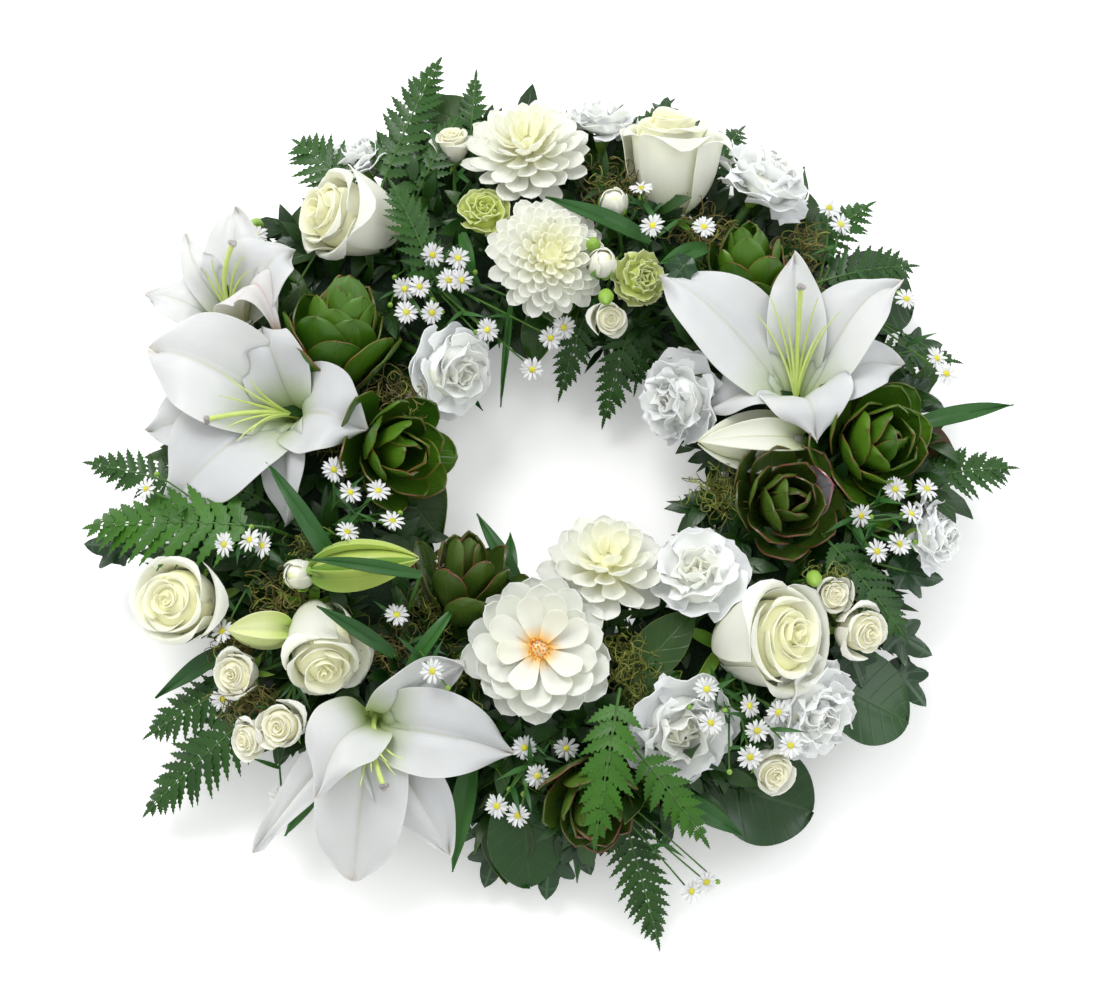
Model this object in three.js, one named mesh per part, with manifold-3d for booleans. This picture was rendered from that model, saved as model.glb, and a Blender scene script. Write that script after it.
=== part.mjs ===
// A round funeral wreath of white flowers, lying flat. Millimetres, +Z up.
// A plastic tray holds a ring of floral foam. Every flower, spray and leafy stem has its stem in the foam.
// Places are measured from the ring's centre, with +Y away from the viewer. At the end the wreath is moved so
// that the origin is the middle of its footprint, on the surface it lies on.
import * as THREE from "three";
import { mergeVertices } from "three/addons/utils/BufferGeometryUtils.js";
import Module from "manifold-3d";

const wasm = await Module();
wasm.setup();

// Ring and tray
const RING_RADIUS = 137; // middle of the foam
const FOAM_HALF_WIDTH = 33;
const FOAM_SHOULDER = 34;
const FOAM_TOP = 50;
const FOAM_BEVEL = 15; // how far the rounded top draws in from the sides
const TRAY_WALL = 2;
const TRAY_HEIGHT = 20;
const FIT_GAP = 0.3; // between pieces that touch
const RING_SIDES = 24;

// Stems and the clearance that is kept round each piece
const STEM_END_HEIGHT = 25; // stems point at the foam's middle line, at this height
const STEM_DEPTH = 15; // and stop this far short of it
const HOLE_CLEARANCE = 0.35;
const CLEARANCE = 0.8;
const HUB_OUTSIDE = [171, 44]; // radius and height where the leaves of an outer leafy stem meet
const HUB_INSIDE = [103, 44];

// Finishes: colour, roughness
const WHITE = [0xf3f1e6, 0.62];
const IVORY = [0xefe8cd, 0.64];
const CREAM = [0xebe3bd, 0.64];
const BUD_GREEN = [0xb4c283, 0.6];
const LIME = [0xc3cc84, 0.7];
const BRACT = [0x7f8f45, 0.55];
const BRACT_DARK = [0x6b6a3f, 0.5];
const LEAF = [0x2f4a25, 0.55];
const LEAF_BRIGHT = [0x46682f, 0.55];
const FOAM = [0x2c4a33, 0.95];
const TRAY = [0x23352a, 0.6];

// Solids
const radians = THREE.MathUtils.degToRad;
const vec = (x, y, z) => new THREE.Vector3(x, y, z);

/** A geometry from a list of coordinates and a list of triangle corners. */
function geometryFrom(positions, triangles) {
  const geometry = new THREE.BufferGeometry();
  geometry.setAttribute("position", new THREE.Float32BufferAttribute(positions, 3));
  geometry.setIndex(triangles);
  return geometry;
}

/** A solid from a closed geometry, without the triangles that have collapsed. */
function solidOf(geometry) {
  geometry.deleteAttribute("normal");
  geometry.deleteAttribute("uv");
  const merged = mergeVertices(geometry, 1e-4);
  const corners = merged.index.array;
  const kept = [];
  for (let i = 0; i < corners.length; i += 3) {
    const [a, b, c] = corners.slice(i, i + 3);
    if (a !== b && b !== c && c !== a) kept.push(a, b, c);
  }
  const vertProperties = new Float32Array(merged.attributes.position.array);
  return new wasm.Manifold(new wasm.Mesh({ numProp: 3, vertProperties, triVerts: new Uint32Array(kept) }));
}

const joined = (geometries) => geometries.map(solidOf).reduce((whole, next) => whole.add(next));

/** A turned shape about +Z, from a profile of [radius, height] that runs up from the bottom of the axis. */
function turned(profile, sides) {
  const points = profile.map(([radius, height]) => new THREE.Vector2(radius, height));
  return new THREE.LatheGeometry(points, sides).rotateX(Math.PI / 2);
}

/** A straight rod between two points, with a radius at each end. */
function rod(from, to, radiusFrom, radiusTo, sides = 4) {
  const along = to.clone().sub(from);
  const geometry = new THREE.CylinderGeometry(radiusTo, radiusFrom, along.length(), sides);
  geometry.rotateX(Math.PI / 2).translate(0, 0, along.length() / 2);
  const turn = new THREE.Quaternion().setFromUnitVectors(vec(0, 0, 1), along.normalize());
  return geometry.applyQuaternion(turn).translate(from.x, from.y, from.z);
}

/** The matrix that stands a flower's local +Z along its facing direction, with its centre at `at`. */
function stance({ at, toward = 0, lean = 0, spin = 0 }, centreHeight = 0) {
  const matrix = new THREE.Matrix4().makeRotationZ(radians(toward));
  matrix.multiply(new THREE.Matrix4().makeRotationY(radians(lean)));
  matrix.multiply(new THREE.Matrix4().makeRotationZ(radians(spin - toward)));
  matrix.multiply(new THREE.Matrix4().makeTranslation(0, 0, -centreHeight));
  return new THREE.Matrix4().makeTranslation(...at).multiply(matrix);
}

/**
 * A petal or leaf with sharp edges, from the origin along +X. Its middle line leaves `pitch` degrees above
 * the XY plane and turns by `bend` over its length. `curl` is half the angle that its width wraps round.
 */
function blade(shape) {
  const { length, width, pitch = 0, bend = 0.01, curl = 0.01, thick = 1.4, grow = 0 } = shape;
  const { widest = 0.55, blunt = 0.7, foot = 0.15, wave = 0, waves = 2, stations = 3, columns = 2 } = shape;
  const peak = Math.log(0.5) / Math.log(widest);
  const turn = radians(bend);
  const start = radians(pitch);
  const wrap = radians(curl);
  const positions = [];
  const rows = [];
  const point = (x, y, z) => positions.push(x, y, z) / 3 - 1;
  for (let i = 0; i <= stations; i++) {
    const t = 1 - (1 - i / stations) ** 1.35;
    const angle = start + turn * t;
    const x = (length / turn) * (Math.sin(angle) - Math.sin(start));
    const z = (length / turn) * (Math.cos(start) - Math.cos(angle));
    if (i === stations) {
      const tip = point(x + Math.cos(angle) * grow * 3, 0, z + Math.sin(angle) * grow * 3);
      rows.push({ top: Array(columns + 1).fill(tip), bottom: Array(columns + 1).fill(tip) });
      break;
    }
    const swell = Math.sin(Math.PI * t ** peak) ** blunt;
    const half = (width / 2) * Math.max(swell, foot * (1 - t)) + grow * 3;
    const row = { top: [], bottom: [] };
    for (let j = 0; j <= columns; j++) {
      const v = (2 * j) / columns - 1;
      const y = (half / wrap) * Math.sin(wrap * v);
      const ripple = wave * Math.sin(Math.PI * waves * t + (j * Math.PI) / 2) * Math.abs(v);
      const lift = (half / wrap) * (1 - Math.cos(wrap * v)) + ripple;
      const offset = (1 - Math.abs(v)) * (thick / 2 + grow);
      const raised = (d) => point(x - Math.sin(angle) * (lift + d), y, z + Math.cos(angle) * (lift + d));
      const edge = j === 0 || j === columns;
      row.top.push(raised(edge ? 0 : offset));
      row.bottom.push(edge ? row.top[j] : raised(-offset));
    }
    rows.push(row);
  }
  const triangles = [];
  const quad = (a, b, c, d) => triangles.push(a, b, c, a, c, d);
  for (let i = 0; i < stations; i++) {
    const [near, far] = [rows[i], rows[i + 1]];
    for (let j = 0; j < columns; j++) {
      quad(near.top[j], far.top[j], far.top[j + 1], near.top[j + 1]);
      triangles.push(near.bottom[j], far.bottom[j + 1], far.bottom[j]);
      triangles.push(near.bottom[j], near.bottom[j + 1], far.bottom[j + 1]);
    }
  }
  const base = rows[0];
  for (let j = 0; j < columns; j++) quad(base.top[j], base.top[j + 1], base.bottom[j + 1], base.bottom[j]);
  return geometryFrom(positions, triangles);
}

/** A whorl of equal blades round a flower's axis, each rolled on its own length to lie over the next. */
function whorl({ count, out = 0, up = 0, first = 0, roll = 12, ...shape }) {
  const one = blade(shape).rotateX(radians(roll)).translate(out, 0, up);
  return Array.from({ length: count }, (_, i) => one.clone().rotateZ(radians(first + (i * 360) / count)));
}

// Flowers. Each faces +Z from its stem, and has a guard, a simple shape that nothing else may enter.
/** A turned guard round the parts of a flower, from how far they reach in five directions off the axis. */
function wrapped(parts, sides = 7) {
  const angles = [-90, -38, 0, 40, 90].map(radians);
  const reach = angles.map(() => -Infinity);
  for (const part of parts) {
    const points = part.attributes.position;
    for (let i = 0; i < points.count; i++) {
      const radius = Math.hypot(points.getX(i), points.getY(i));
      const extents = angles.map((angle) => radius * Math.cos(angle) + points.getZ(i) * Math.sin(angle));
      extents.forEach((extent, k) => (reach[k] = Math.max(reach[k], extent + CLEARANCE)));
    }
  }
  const corners = angles.slice(1).map((next, k) => {
    const scale = Math.sin(next - angles[k]);
    const radius = (reach[k] * Math.sin(next) - reach[k + 1] * Math.sin(angles[k])) / scale;
    const height = (reach[k + 1] * Math.cos(angles[k]) - reach[k] * Math.cos(next)) / scale;
    return [radius / Math.cos(Math.PI / sides), height];
  });
  return turned([[0, -reach[0]], ...corners, [0, reach[4]]], sides);
}

const flower = (parts, rest) => ({ parts, guard: [wrapped(parts)], ...rest });

/** A rose: a full bud with an open ring of petals. */
function rose({ across, tall }) {
  const bud = [
    [0, -1],
    [across * 0.2, 0],
    [across * 0.32, tall * 0.35],
    [across * 0.31, tall * 0.66],
    [across * 0.16, tall * 0.9],
    [0, tall * 0.92],
  ];
  const petal = { length: tall * 0.84, width: across * 0.58, thick: 1.6, pitch: 51, bend: 32, curl: 38 };
  const shape = { ...petal, blunt: 0.5, widest: 0.62, foot: 0.37, roll: 14 };
  const petals = whorl({ ...shape, count: 5, out: across * 0.22, up: tall * 0.12, first: 40 });
  return flower([turned(bud, 6), ...petals], { centre: tall * 0.5, stem: 3 });
}

/** A lily trumpet of six tepals with a style. */
function lily({ tepal, turnBack = 80 }) {
  const throat = [
    [0, -2],
    [4, -1],
    [8, tepal * 0.16],
    [11.5, tepal * 0.28],
    [0, tepal * 0.24],
  ];
  const shape = { length: tepal * 0.9, widest: 0.5, blunt: 0.8, foot: 0.17, thick: 2, pitch: 58, curl: 16 };
  const broad = { ...shape, width: tepal * 0.46, bend: -turnBack, out: 7, up: tepal * 0.14, roll: 12 };
  const narrow = { ...shape, width: tepal * 0.34, bend: -turnBack - 12, out: 6, up: tepal * 0.09, roll: 20 };
  const tepals = (grow) => [
    ...whorl({ ...broad, grow, count: 3 }),
    ...whorl({ ...narrow, grow, count: 3, first: 60 }),
  ];
  const style = rod(vec(0, 0, tepal * 0.2), vec(4, 2, tepal * 0.74), 1.6, 2.2, 3);
  const cup = [
    [0, -4],
    [7, -3],
    [tepal * 0.24, tepal * 0.5],
    [tepal * 0.22, tepal * 0.8],
    [0, tepal * 0.82],
  ];
  const parts = [turned(throat, 6), ...tepals(0), style];
  return { parts, guard: [...tepals(CLEARANCE * 3), turned(cup, 7)], centre: tepal * 0.25, stem: 4 };
}

/** A closed lily bud, its tepals folded into a long ribbed point. */
function lilyBud({ across, tall }) {
  const r = across / 2;
  const body = [
    [0, -1],
    [r * 0.35, 0],
    [r * 0.9, tall * 0.28],
    [r, tall * 0.55],
    [r * 0.5, tall * 0.88],
    [0, tall],
  ];
  return flower([turned(body, 7)], { centre: tall * 0.5, stem: 3 });
}

/** A dahlia: rings of spooned petals, closing towards the middle. */
function dahlia({ across, rings }) {
  const r = across / 2;
  const heart = [
    [0, -3],
    [r * 0.34, -2],
    [r * 0.53, r * 0.1],
    [r * 0.31, r * 0.4],
    [0, r * 0.5],
  ];
  const petals = rings.flatMap(({ count, reach, pitch, bend, up, out, wide }, ring) => {
    const outline = { length: r * reach, width: r * wide, blunt: 0.5, widest: 0.64, foot: 0.37, thick: 1.5 };
    const shape = { ...outline, pitch, bend, curl: 28, roll: 19, stations: 2 };
    return whorl({ ...shape, count, up: r * up, out: r * out, first: ring * 17 });
  });
  return flower([turned(heart, 7), ...petals], { centre: r * 0.2, stem: 3 });
}

/** A ruffled flower such as a lisianthus or carnation: spread petals and a tuft over a narrow calyx. */
function ruffled({ across, outer = 5, tuft = 3 }) {
  const r = across / 2;
  const calyx = [
    [0, -r * 0.7],
    [r * 0.25, -r * 0.6],
    [r * 0.4, -r * 0.1],
    [r * 0.5, r * 0.25],
    [0, tuft ? r * 0.4 : r * 0.6],
  ];
  const outline = { blunt: 0.32, widest: 0.74, foot: 0.22, thick: 1.6, stations: 2 };
  const frill = { ...outline, bend: -20, curl: 22, roll: 20 };
  const spread = { ...frill, length: r * 0.8, width: (r * 4.4) / outer, pitch: tuft ? 21 : 30 };
  const wide = whorl({ ...spread, count: outer, out: r * 0.36 });
  const raised = { ...frill, count: tuft, length: r * 0.55, width: r * 0.6, pitch: 66 };
  const upright = whorl({ ...raised, out: r * 0.26, up: r * 0.17, first: 30 });
  return flower([turned(calyx, 6), ...wide, ...upright], { centre: r * 0.2, foot: -r * 0.6, stem: 2.5 });
}

/** A leucadendron head: stiff bracts overlapping like a tulip round a cone. */
function leucadendron({ across, tall }) {
  const r = across / 2;
  const cone = [
    [0, -2],
    [r * 0.36, 0],
    [r * 0.5, tall * 0.3],
    [r * 0.3, tall * 0.64],
    [0, tall * 0.74],
  ];
  const bract = { length: tall * 0.84, width: r * 0.88, thick: 1.8, widest: 0.6, blunt: 0.62, foot: 0.4 };
  const shape = { ...bract, pitch: 50, bend: 30, curl: 27, roll: 22, stations: 2 };
  const bracts = whorl({ ...shape, count: 5, out: r * 0.39, up: 5, first: 36 });
  return flower([turned(cone, 6), ...bracts], { centre: tall * 0.5, stem: 3.5 });
}

/** A small rose on a spray, its outer petals flared, or a closed bud. */
function sprayRose({ across, open = true }) {
  const r = across / 2;
  const bud = [
    [0, -r * 0.9],
    [r * 0.55, -r * 0.5],
    [open ? r : r * 0.8, r * 0.1],
    [r * 0.62, r * 0.42],
    [0, r * 0.85],
  ];
  const parts = (forkPoint) => [turned(bud, 6), rod(forkPoint, vec(0, 0, -r * 0.6), 1.2, 1.2, 3)];
  return { parts, guard: [wrapped([turned(bud, 6)])], foot: -r * 0.6 };
}

/** An aster: a flat star of rays on a thin three-sided stalk that runs down to `forkPoint`. */
function aster({ across }) {
  const r = across / 2;
  const corners = [0, 1, 2];
  const stalk = 1.3;
  const shape = (forkPoint) => {
    const positions = [0, 0, 2];
    const point = (x, y, z) => positions.push(x, y, z) / 3 - 1;
    const rim = Array.from({ length: 12 }, (_, i) => {
      const [reach, height] = i % 2 ? [r * 0.6, 0.2] : [r, 0.8];
      return point(Math.cos((i * Math.PI) / 6) * reach, Math.sin((i * Math.PI) / 6) * reach, height);
    });
    const spokes = corners.map((k) => vec(Math.cos((k * Math.PI) / 1.5), Math.sin((k * Math.PI) / 1.5), 0));
    const neck = spokes.map((spoke) => point(spoke.x * stalk, spoke.y * stalk, -1.2));
    const along = forkPoint.clone().normalize();
    const end = spokes.map((spoke) => point(...spoke.projectOnPlane(along).setLength(stalk).add(forkPoint)));
    const triangles = rim.flatMap((here, i) => [0, here, rim[(i + 1) % 12]]);
    for (const k of corners) {
      const next = (k + 1) % 3;
      for (let i = 4 * k + 10; i < 4 * k + 14; i++) triangles.push(neck[k], rim[(i + 1) % 12], rim[i % 12]);
      triangles.push(neck[k], neck[next], rim[(4 * k + 2) % 12]);
      triangles.push(neck[k], end[k], end[next], neck[k], end[next], neck[next]);
    }
    triangles.push(end[0], end[2], end[1]);
    return geometryFrom(positions, triangles);
  };
  const guard = [turned([[0, -2.4], [r * 1.14, -0.6], [r * 1.14, 1.6], [0, 3.2]], 6)];
  return { parts: (forkPoint) => [shape(forkPoint)], guard, foot: -1 };
}

// Foliage. Each piece runs between two points.
/** The matrix that lays a blade's +X from one point to another, `roll` degrees off level. */
function laid(from, to, roll = 0) {
  const along = to.clone().sub(from).normalize();
  const side = vec(0, 0, 1).cross(along).normalize();
  const basis = new THREE.Matrix4().makeBasis(along, side, along.clone().cross(side));
  return basis.multiply(new THREE.Matrix4().makeRotationX(radians(roll))).setPosition(from);
}

/** The length of an arc of `arch` degrees over a chord. */
const arcOver = (chord, arch) => (chord * radians(arch / 2)) / Math.sin(radians(arch / 2));

/** A plain leaf from one point to another: broad and glossy, or a narrow strap. */
function leaf({ from, to, width, arch = 40, roll = 0, strap = false, stations = 3, grow = 0 }) {
  const length = arcOver(from.distanceTo(to), arch);
  const outline = strap ? { widest: 0.45, blunt: 0.7, curl: 26 } : { widest: 0.55, blunt: 0.6, curl: 12 };
  const shape = { length, width, pitch: arch / 2, bend: -arch, foot: 0.2, thick: 1.4, stations, grow };
  return blade({ ...shape, ...outline }).applyMatrix4(laid(from, to, roll));
}

/** A fern frond from one point to another: a thin arched blade with pointed leaflets down both sides. */
function frond({ from, to, width, arch = 30, roll = 0, pairs = 4, grow = 0 }) {
  const length = arcOver(from.distanceTo(to), arch);
  const slack = grow / length;
  const turn = radians(-arch);
  const start = radians(arch / 2);
  const stalk = 0.18;
  const rib = 1 + grow;
  const half = 0.5 + grow;
  const positions = [];
  const triangles = [];
  const place = (t, y, side) => {
    const angle = start + turn * t;
    const x = (length / turn) * (Math.sin(angle) - Math.sin(start));
    const z = (length / turn) * (Math.cos(start) - Math.cos(angle));
    return positions.push(x - Math.sin(angle) * side * half, y, z + Math.cos(angle) * side * half) / 3 - 1;
  };
  const point = (t, y) => ({ up: place(t, y, 1), down: place(t, y, -1) });
  const flat = (a, b, c) => triangles.push(a.up, b.up, c.up, a.down, c.down, b.down);
  const step = (1 - stalk) / pairs;
  const outline = (side) => {
    const points = [point(-slack, side * rib)];
    for (let i = 0; i < pairs; i++) {
      const t = stalk + i * step;
      const reach = (width / 2) * Math.sin(Math.PI * (0.34 + (0.66 * (i + 0.4)) / pairs)) ** 0.7;
      const shoulder = point(t + step * 0.3 - slack, side * (reach * 0.72 + grow));
      points.push(point(t, side * rib), shoulder, point(t + step * 0.9 + slack, side * (reach + grow)));
    }
    return points;
  };
  const [left, right] = [outline(1), outline(-1)];
  const tip = point(1 + slack, 0);
  flat(right[0], right[1], left[1]);
  flat(right[0], left[1], left[0]);
  for (let base = 1; base < left.length; base += 3) {
    const nextLeft = left[base + 3] ?? tip;
    const nextRight = right[base + 3] ?? tip;
    flat(left[base], left[base + 2], left[base + 1]);
    flat(left[base], nextLeft, left[base + 2]);
    flat(right[base], right[base + 1], right[base + 2]);
    flat(right[base], right[base + 2], nextRight);
    flat(right[base], nextRight, left[base]);
    if (nextRight !== nextLeft) flat(left[base], nextRight, nextLeft);
  }
  const rim = [...right, tip, ...left.reverse()];
  rim.forEach((here, i) => {
    const next = rim[(i + 1) % rim.length];
    triangles.push(here.up, here.down, next.down, here.up, next.down, next.up);
  });
  return geometryFrom(positions, triangles).applyMatrix4(laid(from, to, roll));
}

// Ring
const wreath = new THREE.Group();
wreath.name = "wreath";

/** A ring of foam or tray, turned whole and then bored through. */
function ring(outer, bore) {
  return solidOf(turned(outer, RING_SIDES)).subtract(solidOf(turned(bore, RING_SIDES)));
}

/** The foam ring, or with `grow` the space that the flowers keep clear of. */
function foamRing(grow) {
  const inside = RING_RADIUS - FOAM_HALF_WIDTH - grow;
  const outside = RING_RADIUS + FOAM_HALF_WIDTH + grow;
  const bottom = TRAY_WALL + FIT_GAP - grow;
  const outer = [
    [0, bottom],
    [outside, bottom],
    [outside, FOAM_SHOULDER + grow],
    [outside - FOAM_BEVEL, FOAM_TOP + grow],
    [0, FOAM_TOP + grow],
  ];
  const bore = [
    [0, -5],
    [inside, -5],
    [inside, FOAM_SHOULDER + grow],
    [inside + FOAM_BEVEL, FOAM_TOP + grow],
    [inside + FOAM_BEVEL, FOAM_TOP + 5],
    [0, FOAM_TOP + 5],
  ];
  return ring(outer, bore);
}

/** A flat-ended ring between two radii and two heights. */
function band(inside, outside, low, high) {
  const outer = [[0, low], [outside, low], [outside, high], [0, high]];
  const bore = [[0, low - 1], [inside, low - 1], [inside, high + 1], [0, high + 1]];
  return ring(outer, bore);
}

const channelInside = RING_RADIUS - FOAM_HALF_WIDTH - FIT_GAP;
const channelOutside = RING_RADIUS + FOAM_HALF_WIDTH + FIT_GAP;
const trayBody = band(channelInside - TRAY_WALL, channelOutside + TRAY_WALL, 0, TRAY_HEIGHT);
const tray = trayBody.subtract(band(channelInside, channelOutside, TRAY_WALL, TRAY_HEIGHT + 1));
const trayGuard = band(
  channelInside - TRAY_WALL - CLEARANCE,
  channelOutside + TRAY_WALL + CLEARANCE,
  -5,
  TRAY_HEIGHT + CLEARANCE,
);
const ringGuard = foamRing(CLEARANCE).add(trayGuard);

/** Adds one node, with its solid's vertices measured from the node's own place. */
function addNode(name, solid, [color, roughness], place = new THREE.Matrix4()) {
  const { vertProperties, triVerts } = solid.getMesh();
  const geometry = geometryFrom(vertProperties, [...triVerts]).applyMatrix4(place.clone().invert());
  const flat = geometry.toNonIndexed();
  flat.computeVertexNormals();
  const mesh = new THREE.Mesh(flat, new THREE.MeshStandardMaterial({ color, roughness, metalness: 0 }));
  mesh.name = name;
  mesh.applyMatrix4(place);
  wreath.add(mesh);
}

// Planting. A piece placed later is cut clear of the guards of all earlier ones.
const taken = [];
const holes = [];

const meets = (a, b) =>
  [0, 1, 2].every((axis) => a.boundingBox().min[axis] < b.boundingBox().max[axis]) &&
  [0, 1, 2].every((axis) => b.boundingBox().min[axis] < a.boundingBox().max[axis]);

const largest = (solid) => solid.decompose().sort((a, b) => b.volume() - a.volume())[0];

/** The largest body of a solid once it is cut clear of everything placed before. */
function clearOf(solid) {
  const near = taken.filter((guard) => meets(guard, solid));
  return largest(near.reduce((rest, guard) => rest.subtract(guard), solid));
}

/** The foot in the foam of a stem that comes from `from`. */
function stemFoot(from) {
  const turn = Math.atan2(from.y, from.x);
  const end = vec(Math.cos(turn) * RING_RADIUS, Math.sin(turn) * RING_RADIUS, STEM_END_HEIGHT);
  return end.add(from.clone().sub(end).setLength(STEM_DEPTH));
}

/** Bores the foam for a stem and keeps its way clear, a little beyond both of its ends. */
function bore(from, to, radius) {
  const more = to.clone().sub(from).setLength(HOLE_CLEARANCE);
  const [start, end] = [from.clone().sub(more), to.clone().add(more)];
  holes.push(solidOf(rod(start, end, radius + HOLE_CLEARANCE, radius + HOLE_CLEARANCE)));
  taken.push(solidOf(rod(start, end, radius + CLEARANCE, radius + CLEARANCE)));
}

/** Plants one flower on its own stem. */
function plant(name, flower, place, finish) {
  const { parts, guard, centre = 0, foot = 0, stem } = flower;
  const matrix = stance(place, centre);
  const head = joined(parts.map((part) => part.applyMatrix4(matrix))).subtract(ringGuard);
  const neck = vec(0, 0, foot + 4).applyMatrix4(matrix);
  const end = stemFoot(neck);
  const solid = clearOf(head.add(solidOf(rod(neck, end, stem, stem))));
  addNode(name, solid, finish, matrix);
  taken.push(...guard.map((shape) => solidOf(shape.applyMatrix4(matrix))));
  bore(neck, end, stem);
}

/** Plants a spray: several small flowers whose branches meet on one stem. */
function plantSpray(name, heads, { fork, stem = 1.8, branch = 1.3 }, finish) {
  const forkPoint = vec(...fork);
  const end = stemFoot(forkPoint);
  const above = forkPoint.clone().add(forkPoint.clone().sub(end).setLength(2));
  const solids = [solidOf(rod(above, end, stem, stem))];
  const guards = [];
  for (const { flower, ...place } of heads) {
    const matrix = stance(place);
    const forkInside = forkPoint.clone().applyMatrix4(matrix.clone().invert());
    const root = vec(0, 0, flower.foot).applyMatrix4(matrix);
    const wide = branch + CLEARANCE;
    solids.push(joined(flower.parts(forkInside).map((part) => part.applyMatrix4(matrix))));
    guards.push(...flower.guard.map((shape) => solidOf(shape.applyMatrix4(matrix))));
    guards.push(solidOf(rod(forkPoint, root, wide, wide)));
  }
  const whole = solids.reduce((sum, next) => sum.add(next));
  const outside = whole.subtract(ringGuard).add(solids[0]);
  const solid = clearOf(outside);
  addNode(name, solid, finish, new THREE.Matrix4().setPosition(forkPoint));
  taken.push(...guards);
  bore(above, end, stem);
}

/** Plants a leafy stem: plain leaves, straps and fronds from one hub above the foam. */
function plantFoliage(name, turn, [radius, height], pieces, finish) {
  const angle = radians(turn);
  const hub = vec(Math.cos(angle) * radius, Math.sin(angle) * radius, height);
  const end = stemFoot(hub);
  const knot = (grow) => turned([[0, -4 - grow], [4 + grow, -2], [4 + grow, 1], [0, 4 + grow]], 6);
  const solids = [solidOf(knot(0).translate(...hub.toArray()))];
  const guards = [solidOf(knot(CLEARANCE).translate(...hub.toArray()))];
  for (const { kind = leaf, root, tip, ...shape } of pieces) {
    const from = root ? vec(...root) : hub;
    const span = { ...shape, from, to: vec(...tip) };
    if (root) {
      solids.push(solidOf(rod(hub, from, 1.5, 1.2, 4)));
      guards.push(solidOf(rod(hub, from, 1.5 + CLEARANCE, 1.2 + CLEARANCE, 4)));
    }
    solids.push(solidOf(kind(span)));
    guards.push(solidOf(kind({ ...span, grow: CLEARANCE })));
  }
  const whole = solids.reduce((sum, next) => sum.add(next)).subtract(ringGuard);
  const solid = clearOf(whole.add(solidOf(rod(hub, end, 2.5, 2.5))));
  addNode(name, solid, finish, new THREE.Matrix4().setPosition(hub));
  taken.push(...guards);
  bore(hub, end, 2.5);
}

// Layout, from the most prominent piece to the least. Heights are of the middle of each flower.
const facing = (at, toward, lean, spin = 0) => ({ at, toward, lean, spin });
plant("lily_left", lily({ tepal: 88 }), facing([-150, 18, 76], 190, 32, 20), WHITE);
plant("lily_right", lily({ tepal: 88 }), facing([129, 25, 80], 92, 52, 5), WHITE);
plant("lily_bottom", lily({ tepal: 88 }), facing([-103, -146, 68], 265, 48, 30), WHITE);
plant("lily_upper_left", lily({ tepal: 78 }), facing([-172, 92, 64], 135, 50, 0), WHITE);

plant("rose_upper_left", rose({ across: 48, tall: 52 }), facing([-107, 132, 68], 165, 50), IVORY);
plant("rose_top", rose({ across: 56, tall: 56 }), facing([68, 166, 68], 92, 52), IVORY);
plant("rose_left", rose({ across: 54, tall: 46 }), facing([-193, -83, 60], 200, 35), IVORY);
plant("rose_lower_left", rose({ across: 50, tall: 50 }), facing([-120, -100, 76], 285, 20), IVORY);
plant("rose_lower_right", rose({ across: 64, tall: 60 }), facing([115, -112, 78], 350, 40), IVORY);

const fullDahlia = [
  { count: 8, reach: 0.68, pitch: 4, bend: 14, up: -0.02, out: 0.37, wide: 0.5 },
  { count: 5, reach: 0.5, pitch: 38, bend: 20, up: 0.18, out: 0.31, wide: 0.44 },
];
const pompon = [
  { count: 8, reach: 0.62, pitch: -8, bend: 30, up: 0, out: 0.39, wide: 0.5 },
  { count: 6, reach: 0.48, pitch: 34, bend: 34, up: 0.2, out: 0.33, wide: 0.42 },
];
const openDahlia = [
  { count: 9, reach: 0.66, pitch: 4, bend: 6, up: -0.02, out: 0.37, wide: 0.44 },
  { count: 5, reach: 0.5, pitch: 24, bend: 6, up: 0.12, out: 0.3, wide: 0.42 },
];
plant("dahlia_top", dahlia({ across: 66, rings: fullDahlia }), facing([-11, 170, 72], 90, 25), IVORY);
plant("dahlia_pompon", dahlia({ across: 64, rings: pompon }), facing([0, 104, 84], 30, 12), IVORY);
plant("dahlia_open", dahlia({ across: 80, rings: openDahlia }), facing([-4, -119, 84], 270, 6), WHITE);
plant("dahlia_inner", dahlia({ across: 60, rings: fullDahlia }), facing([31, -73, 74], 75, 30), CREAM);

plant("lisianthus_inner_left", ruffled({ across: 48 }), facing([-53, 46, 62], 320, 50), WHITE);
plant("lisianthus_inner_right", ruffled({ across: 56 }), facing([80, -76, 82], 95, 22), WHITE);
plant("lisianthus_lower", ruffled({ across: 52 }), facing([70, -155, 66], 250, 38), WHITE);
plant("lily_bud_green", lilyBud({ across: 26, tall: 56 }), facing([-97, -62, 92], 270, 70), BUD_GREEN);
plant("lily_bud_white", lilyBud({ across: 28, tall: 60 }), facing([107, 2, 74], 183, 75), WHITE);
plant("lisianthus_bud", lilyBud({ across: 18, tall: 31 }), facing([-155, -103, 66], 178, 70), LIME);

const lead = (name, across, tall, place, finish = BRACT) =>
  plant(name, leucadendron({ across, tall }), place, finish);
lead("leucadendron_upper_left", 58, 66, facing([-115, 63, 80], 60, 28));
lead("leucadendron_inner_left", 48, 52, facing([-81, -4, 70], 330, 38));
lead("leucadendron_upper_right", 52, 60, facing([112, 92, 72], 95, 40));
lead("leucadendron_right", 62, 62, facing([180, 6, 72], 350, 38));
lead("leucadendron_purple", 52, 48, facing([127, -33, 76], 340, 18), BRACT_DARK);
lead("leucadendron_lower_left", 44, 58, facing([-45, -78, 72], 75, 45));
lead("leucadendron_bottom", 46, 56, facing([25, -192, 60], 268, 55));

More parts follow.
